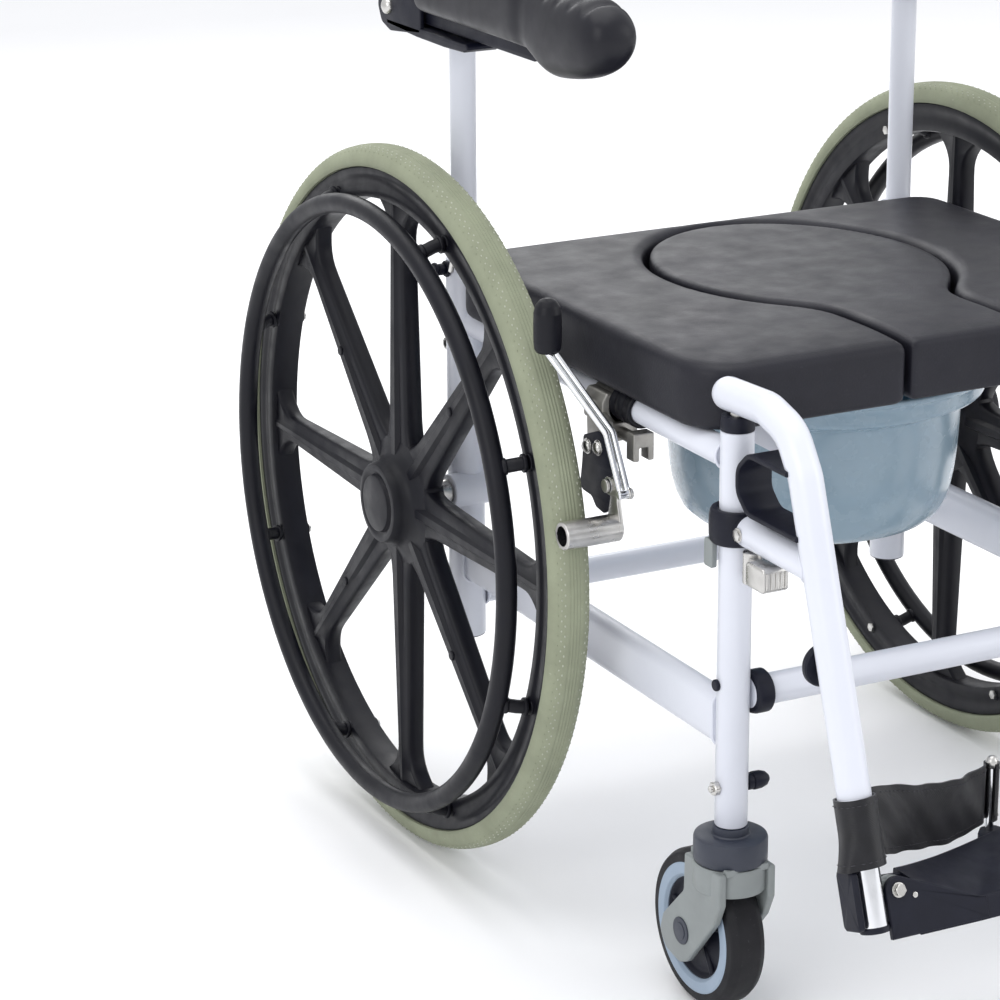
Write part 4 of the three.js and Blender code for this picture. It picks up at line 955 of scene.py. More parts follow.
both("rear_tyre_{}_v", tyre_shell(), "rear_wheel_{}", "tyre_grey", "rear_tyre_{}", sharp=35)


def rim_shell():
    s = Shell()
    # rim band: rounded channel with a stepped side face
    prof = [(258.6, X0 - 10.5), (259.4, X0 - 12.4), (261.5, X0 - 13.2), (268, X0 - 13.4), (270, X0 - 12.2), (276, X0 - 12.4), (278, X0 - 13.8), (283.6, X0 - 14.4), (284.8, X0 - 13.6),
            (284.4, X0 - 12.6), (275.6, X0 - 9.2), (275.2, X0 - 7), (275.2, X0 + 7), (275.6, X0 + 9.2), (284.4, X0 + 12.6), (284.8, X0 + 13.6), (283.6, X0 + 14.4), (278, X0 + 13.8), (276, X0 + 12.4),
            (270, X0 + 12.2), (268, X0 + 13.4), (261.5, X0 + 13.2), (259.4, X0 + 12.4), (258.6, X0 + 10.5)]
    s.lathe(prof, NYLON, 'X', (0, 0, AZ), 144, closed=True)

    def half_width(r):
        w = 17 + (10 - 17) * (r - 54) / (258.5 - 54)
        if r > 222:
            w += 27.0 * ((r - 222) / 38.0) ** 2.6
        if r < 74:
            w += 3.0 * ((74 - r) / 20.0) ** 2
        return w
    radii = [36, 44, 52, 58, 64, 72, 84, 100, 120, 140, 160, 180, 200, 214, 222, 230, 236, 242, 247, 251, 255, 258, 261, 263]
    for k in range(8):
        a = math.pi / 4 * k
        u = Vector((0, math.cos(a), math.sin(a)))
        t = Vector((0, -math.sin(a), math.cos(a)))
        rings = []
        for r in radii:
            w = half_width(r)
            f = (r - 36) / 227.0
            d = 13.0 - 3.2 * f            # half depth of the web
            wr = max(2.6, 4.4 - 1.6 * f)  # half width of the raised rib
            hr = 4.2 - 2.2 * f            # height of the rib above the flange
            fl = 2.6                      # softened flange edges
            sec = []
            for sg in (-1, 1):            # outer face (-x) then inner face (+x)
                m = 1 if sg < 0 else -1
                base = d - hr
                line = [(-w, base - fl), (-w + 0.4 * fl, base - 0.45 * fl), (-w + fl, base), (-wr - 2.0, base + 0.2), (-wr - 0.6, base + 0.5 * hr), (-wr, d - 0.9), (-wr + 0.9, d),
                        (wr - 0.9, d), (wr, d - 0.9), (wr + 0.6, base + 0.5 * hr), (wr + 2.0, base + 0.2), (w - fl, base), (w - 0.4 * fl, base - 0.45 * fl), (w, base - fl)]
                if w < wr + 2.6 + fl:
                    line = [(max(-w, min(w, p[0])), p[1]) for p in line]
                for p in line:
                    sec.append((m * p[0], sg * p[1]))
            rings.append([Vector((X0, 0, AZ)) + u * r + t * p[0] + Vector((1, 0, 0)) * p[1] for p in sec])
        s.loft(rings, NYLON)
    # small moulded bosses where the ejector pins were, on some spokes
    for k in (1, 3, 5, 7):
        a = math.pi / 4 * k
        for r in (150,):
            c = Vector((X0 - 10.6, r * math.cos(a), AZ + r * math.sin(a)))
            s.rod(c, c + Vector((-2.4, 0, 0)), 4.2, NYLON, 18, edge=1.0)
    # stand-off seats and bolt heads on the band between the spokes
    for k in range(8):
        a = math.pi / 8 + math.pi / 4 * k
        c = Vector((X0 - 12.0, 266 * math.cos(a), AZ + 266 * math.sin(a)))
        s.rod(c + Vector((1, 0, 0)), c + Vector((-1.4, 0, 0)), 7.4, NYLON, 24, edge=0.8)
        cin = Vector((X0 + 12.0, 266 * math.cos(a), AZ + 266 * math.sin(a)))
        s.rod(cin, cin + Vector((2.0, 0, 0)), 5.8, NYLON, 24, edge=0.6)
        s.hexnut(cin + Vector((1.6, 0, 0)), cin + Vector((4.4, 0, 0)), 4.2, NICKEL)
    # hub
    hub = [(6.6, -304), (6.6, -259.3), (30, -259.3), (33, -261), (34.5, -264), (37, -267), (41, -269), (50, -270.2), (56, -272), (57, -275), (57, -286), (55.5, -289), (48, -291), (41, -293.5), (37.6, -297),
           (35.6, -303), (34.6, -307.5), (33.4, -309.3), (31, -309.8), (28.5, -309.6), (26.6, -308.2), (25.4, -308.0), (24.6, -309.2), (24.0, -310.9), (22.4, -311.5), (0, -311.5)]
    s.lathe([(0, -304)] + hub, NYLON, 'X', (0, 0, AZ), 72)
    return s


both("rear_rim_{}_v", rim_shell(), "rear_wheel_{}", "wheel_black", "rear_rim_{}", sharp=42)

s = Shell()
s.lathe([(256.7 + 8.5 * math.cos(2 * math.pi * i / 24), -318 + 8.5 * math.sin(2 * math.pi * i / 24)) for i in range(24)], NYLON, 'X', (0, 0, AZ), 160, closed=True)
for k in range(8):
    a = math.pi / 8 + k * math.pi / 4
    def at(x, r):
        return Vector((x, r * math.cos(a), AZ + r * math.sin(a)))
    pts = [at(-317, 258), at(-311, 260.5), at(-303, 264.5), at(-295.4, 267)]
    s.sweep(densify(bend3(pts, 8, 4), 2.5), 5.6, NYLON, 20)
    s.rod(at(-298.5, 266), at(-295.2, 266.6), 7.6, NYLON, 24, edge=0.9)
    s.rod(at(-313.5, 259.5), at(-309.0, 261), 7.0, NYLON, 24, edge=1.6)
both("push_rim_{}_v", s, "rear_wheel_{}", "wheel_black", "push_rim_{}")

# tyre valve
s = Shell()
a = math.radians(112)
p = lambda r: (X0, r * math.cos(a), AZ + r * math.sin(a))
s.rod(p(258), p(246), 3.0, NYLON, 16)
s.rod(p(246), p(236), 2.2, NICKEL, 16)
both("tyre_valve_{}_v", s, "rear_wheel_{}", "wheel_black")

# ------------------------------------------------------------------ casters
CY, CZ = -410.0, 62.5
s = Shell()
s.lathe([(0, 131), (27.4, 131), (28.6, 132.4), (28.7, 138), (28.7, 149), (28.0, 150.9), (26.4, 151.6), (15.2, 152.0), (14.2, 153), (14.0, 158.9), (8, 159.1), (8, 221.4), (7.2, 222), (0, 222)], SLATE, 'Z', (PX, PY, 0), 64)
# crown
s.lathe([(0, 108), (24, 108), (27.6, 108.6), (28.6, 110), (28.8, 129.0), (28.0, 130.4), (0, 130.6)], FORK, 'Z', (PX, PY, 0), 64)
cheek = [(-466, 130), (-413, 130), (-412, 98), (-381, 66), (-376, 50), (-386, 38), (-407, 34), (-418, 39), (-458, 86), (-466, 104)]
for x0, x1 in ((PX - 25, PX - 18.4), (PX + 18.4, PX + 25)):
    s.prism(cheek, 'YZ', x0, x1, FORK, edge=1.6, corner=[2, 2, 8, 8, 10, 10, 8, 6, 8, 8], n=8, steps=3)
# raised axle bosses, each in two steps
for sg in (-1, 1):
    s.rod((PX + sg * 24.6, CY, CZ), (PX + sg * 26.2, CY, CZ), 11.0, SLATE, 40, edge=0.5)
    s.rod((PX + sg * 26.0, CY, CZ), (PX + sg * 26.9, CY, CZ), 7.0, SLATE, 32, edge=0.4)
# front web joining the cheeks behind the crown
s.prism([(-466, 128), (-412, 128), (-412, 133), (-466, 133)], 'YZ', PX - 18.6, PX + 18.6, FORK, edge=0.5)
s.rod((PX - 24, CY, CZ), (PX + 24, CY, CZ), 5.9, NICKEL, 24)
both("caster_fork_{}_v", s, "caster_{}", "caster_grey", "caster_fork_{}")

s = Shell()
# tread
s.lathe(fillet2([(52, PX - 15.5), (59.0, PX - 15.0), (62.5, PX - 9.0), (62.5, PX + 9.0), (59.0, PX + 15.0), (52, PX + 15.5)], [0, 3, 6, 6, 3, 0], 5, closed=False), TREAD, 'X', (0, CY, CZ), 96, closed=True)
# blue-grey ring
s.lathe(fillet2([(40.5, PX - 13.5), (43, PX - 16.0), (51.0, PX - 16.2), (53.2, PX - 14.8), (53.2, PX + 14.8), (51.0, PX + 16.2), (43, PX + 16.0), (40.5, PX + 13.5)], [0, 1.5, 1.2, 0.5, 0.5, 1.2, 1.5, 0], 4, closed=False), RING, 'X', (0, CY, CZ), 96, closed=True)
# dark web and hub
s.lathe(fillet2([(6.3, PX - 16.4), (13.6, PX - 16.4), (15.5, PX - 10.0), (36, PX - 8.5), (41.0, PX - 14.0), (41.0, PX + 14.0), (36, PX + 8.5), (15.5, PX + 10.0), (13.6, PX + 16.4), (6.3, PX + 16.4)],
                [0, 1.2, 3, 4, 0.8, 0.8, 4, 3, 1.2, 0], 5, closed=False), NAVY, 'X', (0, CY, CZ), 72, closed=True)
for k in range(5):
    a = 2 * math.pi * k / 5 + 0.3
    for sg in (-1, 1):
        c0 = Vector((PX + sg * 8.2, CY + 14 * math.cos(a), CZ + 14 * math.sin(a)))
        c1 = Vector((PX + sg * 9.6, CY + 39 * math.cos(a), CZ + 39 * math.sin(a)))
        s.rod(c0, c1, 2.6, NAVY, 12, edge=1.0)
both("caster_wheel_{}_v", s, "caster_roller_{}", "caster_black", "caster_wheel_{}")

# ------------------------------------------------------------------ legrests
HX = -221.0
D = Vector((0, -0.3226, -0.9465)).normalized()
NB = Vector((0, -D.z, D.y))                       # behind the drop tube
end = Vector((HX, -608.2, 243))


def along(x, d, w):
    p = end + D * d + NB * w
    return Vector((x, p.y, p.z))


def along_plate(s, pts, w0, w1, mat, edge=0.6, corner=1.5, n=4):
    # plate square to the drop tube's rear direction, outline given as (x, distance down the tube)
    if area2(pts) < 0:
        pts = list(reversed(pts))
    full = fillet2(pts, corner, n)
    small = offset2(full, edge)
    s.loft([[along(x, d, w0) for x, d in small], [along(x, d, w0 + edge) for x, d in full],
            [along(x, d, w1 - edge) for x, d in full], [along(x, d, w1) for x, d in small]], mat)


top = [(HX, -427, 497.5), (HX, -482, 500), (HX, -514, 491), (HX, -533.2, 463), tuple(end)]
s = Shell()
hr = densify(bend3(top, 34, 10), 12)
s.sweep(hr, 12.7, POWDER, 40, caps=('round', 'flat'))
# bright ring at the tube's mouth
s.rod(end - D * 1.0, end + D * 0.8, 12.9, POWDER, 40, edge=0.4)
# lower bracket tube with its weld to the drop tube
s.rod((HX, -455.5, 400), (HX, -552, 400), 12.3, POWDER, 40, edge=0.8)
ring = []
for i in range(48):
    q = 2 * math.pi * i / 48
    zz = 400 + 12.6 * math.sin(q)
    yy = -533.2 - (463 - zz) * 0.34083 + 13.5 * math.sqrt(max(0.02, 1 - (12.3 * math.cos(q) / 12.75) ** 2))
    ring.append((HX + 12.3 * math.cos(q), yy + 0.6, zz))
s.loop(ring, 1.5, POWDER, 10)
# pivot pin
s.rod((HX, PY, 442.5), (HX, PY, 492), 5.9, NICKEL, 24)
o_h = both("hanger_{}_v", s, "legrest_{}", "frame_white", "hanger_{}")

# black half saddle that hugs the post
s = Shell()
rings = []
n = 30
a0, a1 = math.radians(62), math.radians(330)
for i in range(n + 1):
    q = a0 + (a1 - a0) * i / n
    sec = [(13.4, 387.6), (18.4, 387.2), (19.6, 389), (20.3, 393), (20.5, 400), (20.3, 408), (19.6, 412), (18.4, 414.0), (13.4, 413.6)]
    sec = fillet2(sec, 1.2, 2)
    if i in (0, n):
        sec = [(16.6 + (r - 16.6) * 0.86, 400.5 + (h - 400.5) * 0.94) for r, h in sec]
    rings.append([(PX + r * math.cos(q), PY + r * math.sin(q), h) for r, h in sec])
s.loft(rings, NAVY)
s.rod((HX, -452.5, 400), (HX, -460, 400), 12.9, NAVY, 36, edge=1.4)
# screw in the side of the bracket tube
s.hexnut((HX - 12.0, -463, 400), (HX - 14.6, -463, 400), 4.6, NICKEL)
s.rod((HX - 12.0, -463, 400), (HX - 12.9, -463, 400), 5.6, NICKEL, 24, edge=0.3)
# small stop tab under the saddle
s.prism([(-437, 367), (-425, 367), (-425, 389), (-437, 389)], 'YZ', HX - 18.5, HX - 14.0, FORK, edge=0.8, corner=2)
both("hanger_saddle_{}_v", s, "legrest_{}", "dark_plastic")

# bumper disc on the drop tube's rear side
s = Shell()
c = Vector((HX, -578.5 + 12.8, 330))
s.rod(c + Vector((0, -2.0, 0)), c + Vector((0, 4.0, 0)), 6.0, NAVY, 24, edge=0.8)
s.lathe([(0, 1.0), (15, 1.0), (16.2, 2.2), (16.2, 5.6), (15.0, 7.6), (8, 9.0), (0, 9.4)], NAVY, 'Y', c, 44)
both("hanger_bumper_{}_v", s, "legrest_{}", "dark_plastic")

# guard band
s = Shell()
gp = bend3([(HX, -530, 465.5), (HX, -478, 465.5), (HX, -463.5, 452), (HX, -463.5, 434), (HX, -478, 421), (HX, -545, 421)], 14, 8)
gp = densify(gp, 4)
sec = fillet2([(-2.0, -15), (2.0, -15), (2.0, 15), (-2.0, 15)], 1.4, 4)
s.sweep(gp, 1, NAVY, section=sec, up=(1, 0, 0))
both("hanger_guard_{}_v", s, "legrest_{}", "dark_plastic", "hanger_guard_{}")

# release lever: formed plate with a ribbed thumb end
s = Shell()
s.rod((HX, -464, 361.5), (HX, -464, 386.0), 7.4, NICKEL, 32, edge=0.8)
s.prism([(-490, 370), (-464, 370), (-464, 384), (-490, 383)], 'YZ', HX - 6, HX + 6, NICKEL, edge=1.2, corner=2)
s.prism([(-504, 366.5), (-478, 366.5), (-478, 385.5), (-504, 385.5)], 'YZ', HX - 15, HX + 7, NICKEL, edge=1.8, corner=4)
for i in range(5):
    x = HX - 12 + i * 4
    s.rod((x, -504.2, 369.5), (x, -504.2, 382.5), 1.0, NICKEL, 12, edge=0.8)
both("release_lever_{}_v", s, "legrest_latch_{}", "bright_metal", "release_lever_{}")

# telescopic footrest tube, outer cheek plate and hinge lug
s = Shell()
s.rod(along(HX, -112, 0), along(HX, 96, 0), 10.2, CHROME, 40)
both("footrest_tube_{}_v", s, "footrest_{}", "bright_metal", "footrest_tube_{}")
FX, FD = -199.5, 69.5
s = Shell()


def cheek_ring(x, g):
    base = fillet2([(49 + g, -8 + g), (93 - g, -8 + g), (93 - g, 14 - g), (49 + g, 14 - g)], 3.5, 5)
    return [along(x, d, w) for d, w in base]


s.loft([cheek_ring(-238.0, 1.0), cheek_ring(-237.0, 0), cheek_ring(-233.5, 0), cheek_ring(-232.5, 1.0)], NAVY)
along_plate(s, [(-233, 54), (-226, 54), (-226, 90), (-233, 90)], -4, 6, NAVY, 0.6, 1.0)
along_plate(s, [(-218, 61), (FX, 61), (FX, 78), (-218, 78)], 0.8, 9.7, FORK, 0.6, 1.0)
s.rod(along(FX, FD, 0.6), along(FX, FD, 9.9), 10.4, FORK, 40, edge=0.8)
s.rod(along(HX, 91.5, 0), along(HX, 96.4, 0), 10.9, NAVY, 36, edge=1.2)
both("footrest_clamp_{}_v", s, "footrest_{}", "dark_plastic")


# footplate: two hinge walls round the lug, smooth sloped wedge, strap post on an ear
def arc_pts(r, a0, a1, n):
    return [(FX + r * math.cos(math.radians(a0 + (a1 - a0) * i / n)), FD + r * math.sin(math.radians(a0 + (a1 - a0) * i / n))) for i in range(n + 1)]


s = Shell()
fw = arc_pts(10.2, 180, 293, 14) + [(-134, 87.3), (-126, 88.5), (-126, 104.5), (FX - 10.2, 104)]
along_plate(s, fw, -5, 0, NAVY, 0.9, 0.4, 2)
rw = arc_pts(10.2, 180, 275, 12) + [(-184, 60.5), (-184, 100), (FX - 10.2, 100)]
along_plate(s, rw, 10.5, 16, NAVY, 0.9, 0.4, 2)
nx, nv = 64, 22
xs = [-186 + 162 * (1 - math.cos(math.pi * i / (nx - 1))) / 2 for i in range(nx)]
vs = [(1 - math.cos(math.pi * j / (nv - 1))) / 2 for j in range(nv)]


def lerp_list(x, pts):
    for (x0, y0), (x1, y1) in zip(pts, pts[1:]):
        if x <= x1:
            return y0 + (y1 - y0) * (x - x0) / (x1 - x0)
    return pts[-1][1]


def rnd(x, r):                                        # rounding of the free corners
    e = x - (-24 - r)
    return r - math.sqrt(max(0.0, r * r - e * e)) if e > 0 else 0.0


tops, bots = [], []
for x in xs:
    yf = lerp_list(x, [(-186, -633.9), (-134, -641.3), (-24, -639.5)]) + rnd(x, 7)
    yb = lerp_list(x, [(-186, -608), (-47, -544), (-24, -538)]) - rnd(x, 8)
    yfb = lerp_list(x, [(-186, -646.2), (-134, -646.8), (-24, -643.5)]) + rnd(x, 7)
    yb0 = yb
    ct, cb = [], []
    for v in vs:
        y = yf + (yb - yf) * v
        xb = -134 + (y + 641) / 97 * 87
        k = min(1.0, max(0.0, (x + 186) / (xb + 186)))
        soft = 0.04
        k2 = k if k < 1 - soft else 1 - (1 - k) ** 2 / (2 * soft) - soft / 2 if k < 1 else 1 - soft / 2
        z = 183 - 21.8 * (k2 / (1 - soft / 2))
        d = min(y - yf, yb - y, -24 - x)
        r = 1.8
        if d < r:
            z -= r - math.sqrt(max(0.0, r * r - (r - d) ** 2))
        ct.append((x, y, z))
        cb.append((x, yfb + (yb0 - yfb) * v, 145.0))
    tops.append(ct)
    bots.append(cb)
verts = [q for col in tops for q in col] + [q for col in bots for q in col]
K = nx * nv
faces = []
for i in range(nx - 1):
    for j in range(nv - 1):
        a, b, c, d = i * nv + j, (i + 1) * nv + j, (i + 1) * nv + j + 1, i * nv + j + 1
        faces.append((a, b, c, d))
        faces.append((K + a, K + d, K + c, K + b))
    faces.append((i * nv, K + i * nv, K + (i + 1) * nv, (i + 1) * nv))
    faces.append((i * nv + nv - 1, (i + 1) * nv + nv - 1, K + (i + 1) * nv + nv - 1, K + i * nv + nv - 1))
for j in range(nv - 1):
    faces.append((j, j + 1, K + j + 1, K + j))
    e = (nx - 1) * nv
    faces.append((e + j, K + e + j, K + e + j + 1, e + j + 1))
s.add(verts, faces, NAVY)
# pin with its hexagon head, and the small lock screw beside it
s.rod(along(FX, FD, -7), along(FX, FD, 15.5), 4, NICKEL, 24)
s.rod(along(FX, FD, -5.9), along(FX, FD, -4.4), 5.6, NICKEL, 36, edge=0.4)
s.hexnut(along(FX, FD, -5.6), along(FX, FD, -9.4), 4.6, NICKEL)
s.rod(along(-186.5, 75.5, -6.0), along(-186.5, 75.5, -4.6), 2.2, NICKEL, 14, edge=0.4)
# strap post
s.prism([(-62, -556), (-62, -538), (-53, -528.5), (-41, -530), (-36, -545)], 'XY', 147, 156.5, NAVY, edge=1.0, corner=[2, 4, 5, 5, 2])
s.rod((-50, -536, 150), (-50, -536, 211), 3.2, CHROME, 20)
s.lathe([(0, 207.6), (4.2, 207.6), (5.0, 208.6), (5.0, 212), (4.4, 214), (3.0, 216.2), (1.4, 217), (0, 217.1)], NICKEL, 'Z', (-50, -536, 0), 28)
both("footplate_{}_v", s, "footplate_{}", "dark_plastic", "footplate_{}")


# heel strap: webbing round the strap post at one end and round the hanger tube at the other
def strap_shell():
    s = Shell()
    tube_end = [along(HX + 14.8 * math.cos(math.radians(a)), 23 + dd, 14.8 * math.sin(math.radians(a)))
                for a, dd in ((92, 0), (125, 0), (160, 0.4), (195, 1.0), (230, 1.2), (265, 0.8), (300, 0.4), (335, 0), (368, 0), (398, 0))]
    mids = [(-50.5, -541.2, 188.0, 23.5), (-45.4, -538.6, 188, 23.5), (-45.0, -533.6, 188, 23.5), (-49.2, -530.9, 188, 23.5), (-54.6, -533.2, 188.4, 23.5), (-59.5, -540.3, 189, 23.5),
            (-70, -547.2, 190.5, 23.8), (-96, -561.5, 194, 24), (-128, -577, 201.5, 24.5), (-155, -587, 208, 24.5), (-176, -593.5, 213, 25), (-196, -598.0, 217.0, 25)]
    mids += [(q.x, q.y, q.z, 25) for q in tube_end]
    pts = [Vector((a, b, c)) for a, b, c, w in mids]
    hw = [w for *_, w in mids]
    P, H = [], []
    k = len(pts)
    for i in range(k - 1):
        p0, p1, p2, p3 = pts[max(i - 1, 0)], pts[i], pts[i + 1], pts[min(i + 2, k - 1)]
        steps = max(4, int((p2 - p1).length / 2.2))
        for j in range(steps):
            t = j / steps
            P.append(0.5 * ((2 * p1) + (p2 - p0) * t + (2 * p0 - 5 * p1 + 4 * p2 - p3) * t * t + (3 * p1 - p0 - 3 * p2 + p3) * t ** 3))
            H.append(hw[i] * (1 - t) + hw[i + 1] * t)
    P.append(pts[-1])
    H.append(hw[-1])
    rows = 22
    grid = []
    n = len(P)
    for i, p in enumerate(P):
        t = (P[min(i + 1, n - 1)] - P[max(i - 1, 0)]).normalized()
        near = min(1.0, max(0.0, (-150 - p.x) / 40))         # 1 round the tube, 0 at the post
        free = min(1.0, max(0.0, (-p.x - 58) / 30)) * min(1.0, max(0.0, (p.x + 205) / 20))
        up = (Vector((0, 0, 1)) * (1 - near) + (-D) * near).normalized()
        up = (up - t * up.dot(t)).normalized()
        nr = t.cross(up).normalized()
        col = []
        for j in range(rows + 1):
            v = -1 + 2 * j / rows
            fold = 1.5 * math.sin(p.x * 0.115 + v * 1.9) * math.sin(v * 2.2 + p.x * 0.031) + 0.7 * math.sin(v * 5 + p.x * 0.19)
            flare = 0.0
            if p.x < -231:                                   # loose outer corner at the bottom
                flare = 6.5 * max(0.0, -v) ** 1.6 * min(1.0, (-231 - p.x) / 3.0)
            q3 = p + up * (v * H[i] * (1 + 0.012 * math.sin(p.x * 0.21) * free)) + nr * (fold * free) + Vector((-1, -0.3, 0)) * flare
            q3 += Vector((0, 0, -1.2 * math.sin(math.pi * min(1.0, max(0.0, (-p.x - 58) / 140))) * (1 - near)))
            col.append(q3)
        grid.append(col)
    # solid band 1.7 mm thick
    th = 0.85
    N = []
    for i in range(n):
        row = []
        for j in range(rows + 1):
            a = grid[min(i + 1, n - 1)][j] - grid[max(i - 1, 0)][j]
            b = grid[i][min(j + 1, rows)] - grid[i][max(j - 1, 0)]
            row.append(a.cross(b).normalized())
        N.append(row)
    verts, faces = [], []
    R = rows + 1
    for sg in (1, -1):
        for i in range(n):
            for j in range(R):
                verts.append(grid[i][j] + N[i][j] * (th * sg))
    def idx(sg, i, j):
        return (0 if sg > 0 else n * R) + i * R + j
    for i in range(n - 1):
        for j in range(rows):
            faces.append((idx(1, i, j), idx(1, i + 1, j), idx(1, i + 1, j + 1), idx(1, i, j + 1)))
            faces.append((idx(-1, i, j), idx(-1, i, j + 1), idx(-1, i + 1, j + 1), idx(-1, i + 1, j)))
        faces.append((idx(1, i, 0), idx(-1, i, 0), idx(-1, i + 1, 0), idx(1, i + 1, 0)))
        faces.append((idx(1, i, rows), idx(1, i + 1, rows), idx(-1, i + 1, rows), idx(-1, i, rows)))
    for j in range(rows):
        faces.append((idx(1, 0, j), idx(1, 0, j + 1), idx(-1, 0, j + 1), idx(-1, 0, j)))
        faces.append((idx(1, n - 1, j), idx(-1, n - 1, j), idx(-1, n - 1, j + 1), idx(1, n - 1, j + 1)))
    s.add(verts, faces, SATIN)
    # rows of stitches near both edges
    def stitch(a, b, nr):
        d = (b - a)
        s.sweep([a - nr * 0.1, a + d * 0.2 + nr * 0.45, a + d * 0.5 + nr * 0.6, a + d * 0.8 + nr * 0.45, b - nr * 0.1], 0.32, THREAD, 6, caps=('flat', 'flat'))
    for j in (2, rows - 2):
        i = 1
        while i + 1 < n - 1:
            for sg in (1, -1):
                a = grid[i][j] + N[i][j] * (th * sg)
                b = grid[i + 1][j] + N[i + 1][j] * (th * sg)
                stitch(a, a.lerp(b, 0.8), N[i][j] * sg)
            i += 2
    return s


for side, mir in (("right", False), ("left", True)):
    o = strap_shell().build("heel_strap_{}_v".format(side), mirror=mir, sharp=60)
    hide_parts("heel_strap_" + side)
    sg = 1 if mir else -1
    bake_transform(o)

# ------------------------------------------------------------------ brakes
BX = -247.0
LY, LZ = -308.0, 398.0
s = Shell()
# black sleeve on the rail, with two ribs
s.lathe([(11.4, -301), (13.6, -301), (14.4, -300.2), (14.4, -293), (13.7, -292), (13.7, -289.6), (14.4, -288.6), (14.4, -281), (13.7, -280), (13.7, -277.6), (14.4, -276.6), (14.4, -271.7), (11.4, -271.7)], NYLON, 'Y', (PX, 0, RAILZ), 48, closed=True)
# cast clamp: half shells, side block, nose and lug under the rail
s.lathe([(11.4, -271.2), (14.2, -271.2), (15.2, -270.2), (15.2, -241.6), (14.2, -240.4), (11.4, -240.4)], CAST, 'Y', (PX, 0, RAILZ - 3.6), 40, closed=True)
s.prism([(-241, 434.2), (-205.4, 434.2), (-205.4, 446), (-209, 459), (-237, 459), (-241, 452)], 'XZ', -271.2, -240.4, CAST, edge=1.4, corner=3)
s.prism([(-283.6, 416), (-254, 414.4), (-252.4, 444), (-258, 447), (-283.6, 443)], 'YZ', -245.0, -238.0, CAST, edge=1.2, corner=4)
s.rod((-225, -302, 427), (-225, -262, 427), 5.0, CAST, 28, edge=0.8)
s.prism([(-236, 420.4), (-214, 420.4), (-214, 436), (-236, 436)], 'XZ', -275, -246, CAST, edge=1.2, corner=3)
s.prism([(-234, 435.4), (-234, 413.2), (-229, 413.2), (-229, 424), (-221, 424), (-221, 413.2), (-216, 413.2), (-216, 435.4)], 'XZ', -309, -297, CAST, edge=0.8, corner=1.2)
# brake plate
plate = [(-251.3, 422.7), (-271.6, 430.4), (-295.8, 434.7), (-299.1, 423), (-301, 407), (-312, 405), (-317, 398), (-312, 390), (-303, 385), (-299, 377), (-285, 367), (-272, 369),
         (-265, 376), (-251, 377), (-244.5, 380), (-247, 387), (-249.3, 401)]
s.prism(plate, 'YZ', BX, BX + 3.0, NAVY, edge=0.7, corner=[4, 3, 4, 3, 5, 5, 5, 5, 5, 5, 6, 5, 6, 4, 3, 4, 6], n=5)
for y, z in ((-259.1, 415.3), (-276.2, 418.4)):
    s.rod((BX + 1, y, z), (BX - 1.2, y, z), 6.4, NICKEL, 28, edge=0.5)
    s.lathe([(0, -4.6), (2.6, -4.4), (4.6, -3.0), (5.4, -1.0), (5.4, 0), (0, 0)], NICKEL, 'X', (BX, y, z), 28)
s.rod((-243, -262, 428), (-208, -262, 428), 4.0, NICKEL, 20)
s.hexnut((-213.5, -262, 428), (-207.2, -262, 428), 6.8, CAST)
s.rod((BX + 1, LY, LZ), (BX - 12.2, LY, LZ), 3.1, NICKEL, 20)
s.rod((BX - 10.2, LY, LZ), (BX - 12.4, LY, LZ), 5.4, NICKEL, 24, edge=0.6)
both("brake_mount_{}_v", s, "frame", "cast_metal", "brake_mount_{}")

s = Shell()
r1 = bend3([(-256, -339, 400), (-256, -315, 442.5), (-279, -262, 497)], 12, 8)
r2 = bend3([(-262, -339, 400), (-262, -315, 442.5), (-285, -262, 497)], 12, 8)
s.sweep(densify(r1, 8), 2.5, CHROME, 20, caps=('round', 'flat'))
s.sweep(densify(r2, 8), 2.5, CHROME, 20, caps=('round', 'flat'))
s.rod((-264.5, -339, 400), (-252.4, -339, 400), 3.5, CHROME, 24, edge=0.6)
s.prism([(-303, 405), (-311, 405), (-341, 404), (-344, 400), (-341, 396), (-311, 391), (-303, 391)], 'YZ', -256.4, -252.6, NICKEL, edge=0.6, corner=[5, 4, 2.5, 2, 2.5, 4, 5])
s.lathe([(3.4, -256.5), (6.4, -256.5), (7, -255.9), (7, -253.0), (6.4, -252.4), (3.4, -252.4)], CHROME, 'X', (0, LY, LZ), 32, closed=True)
g = fillet2([(0, 495.6), (8.8, 495.6), (10.4, 498.4), (11.0, 504), (11.1, 519), (10.9, 527), (9.6, 532.6), (6.2, 537.0), (2.4, 538.5), (0, 538.6)], [0, 1.5, 2, 4, 10, 5, 5, 5, 3, 0], 4, closed=False)
s.lathe(g, NYLON, 'Z', (-282, -258, 0), 44)
both("brake_lever_{}_v", s, "brake_lever_{}", "bright_metal", "brake_lever_{}")

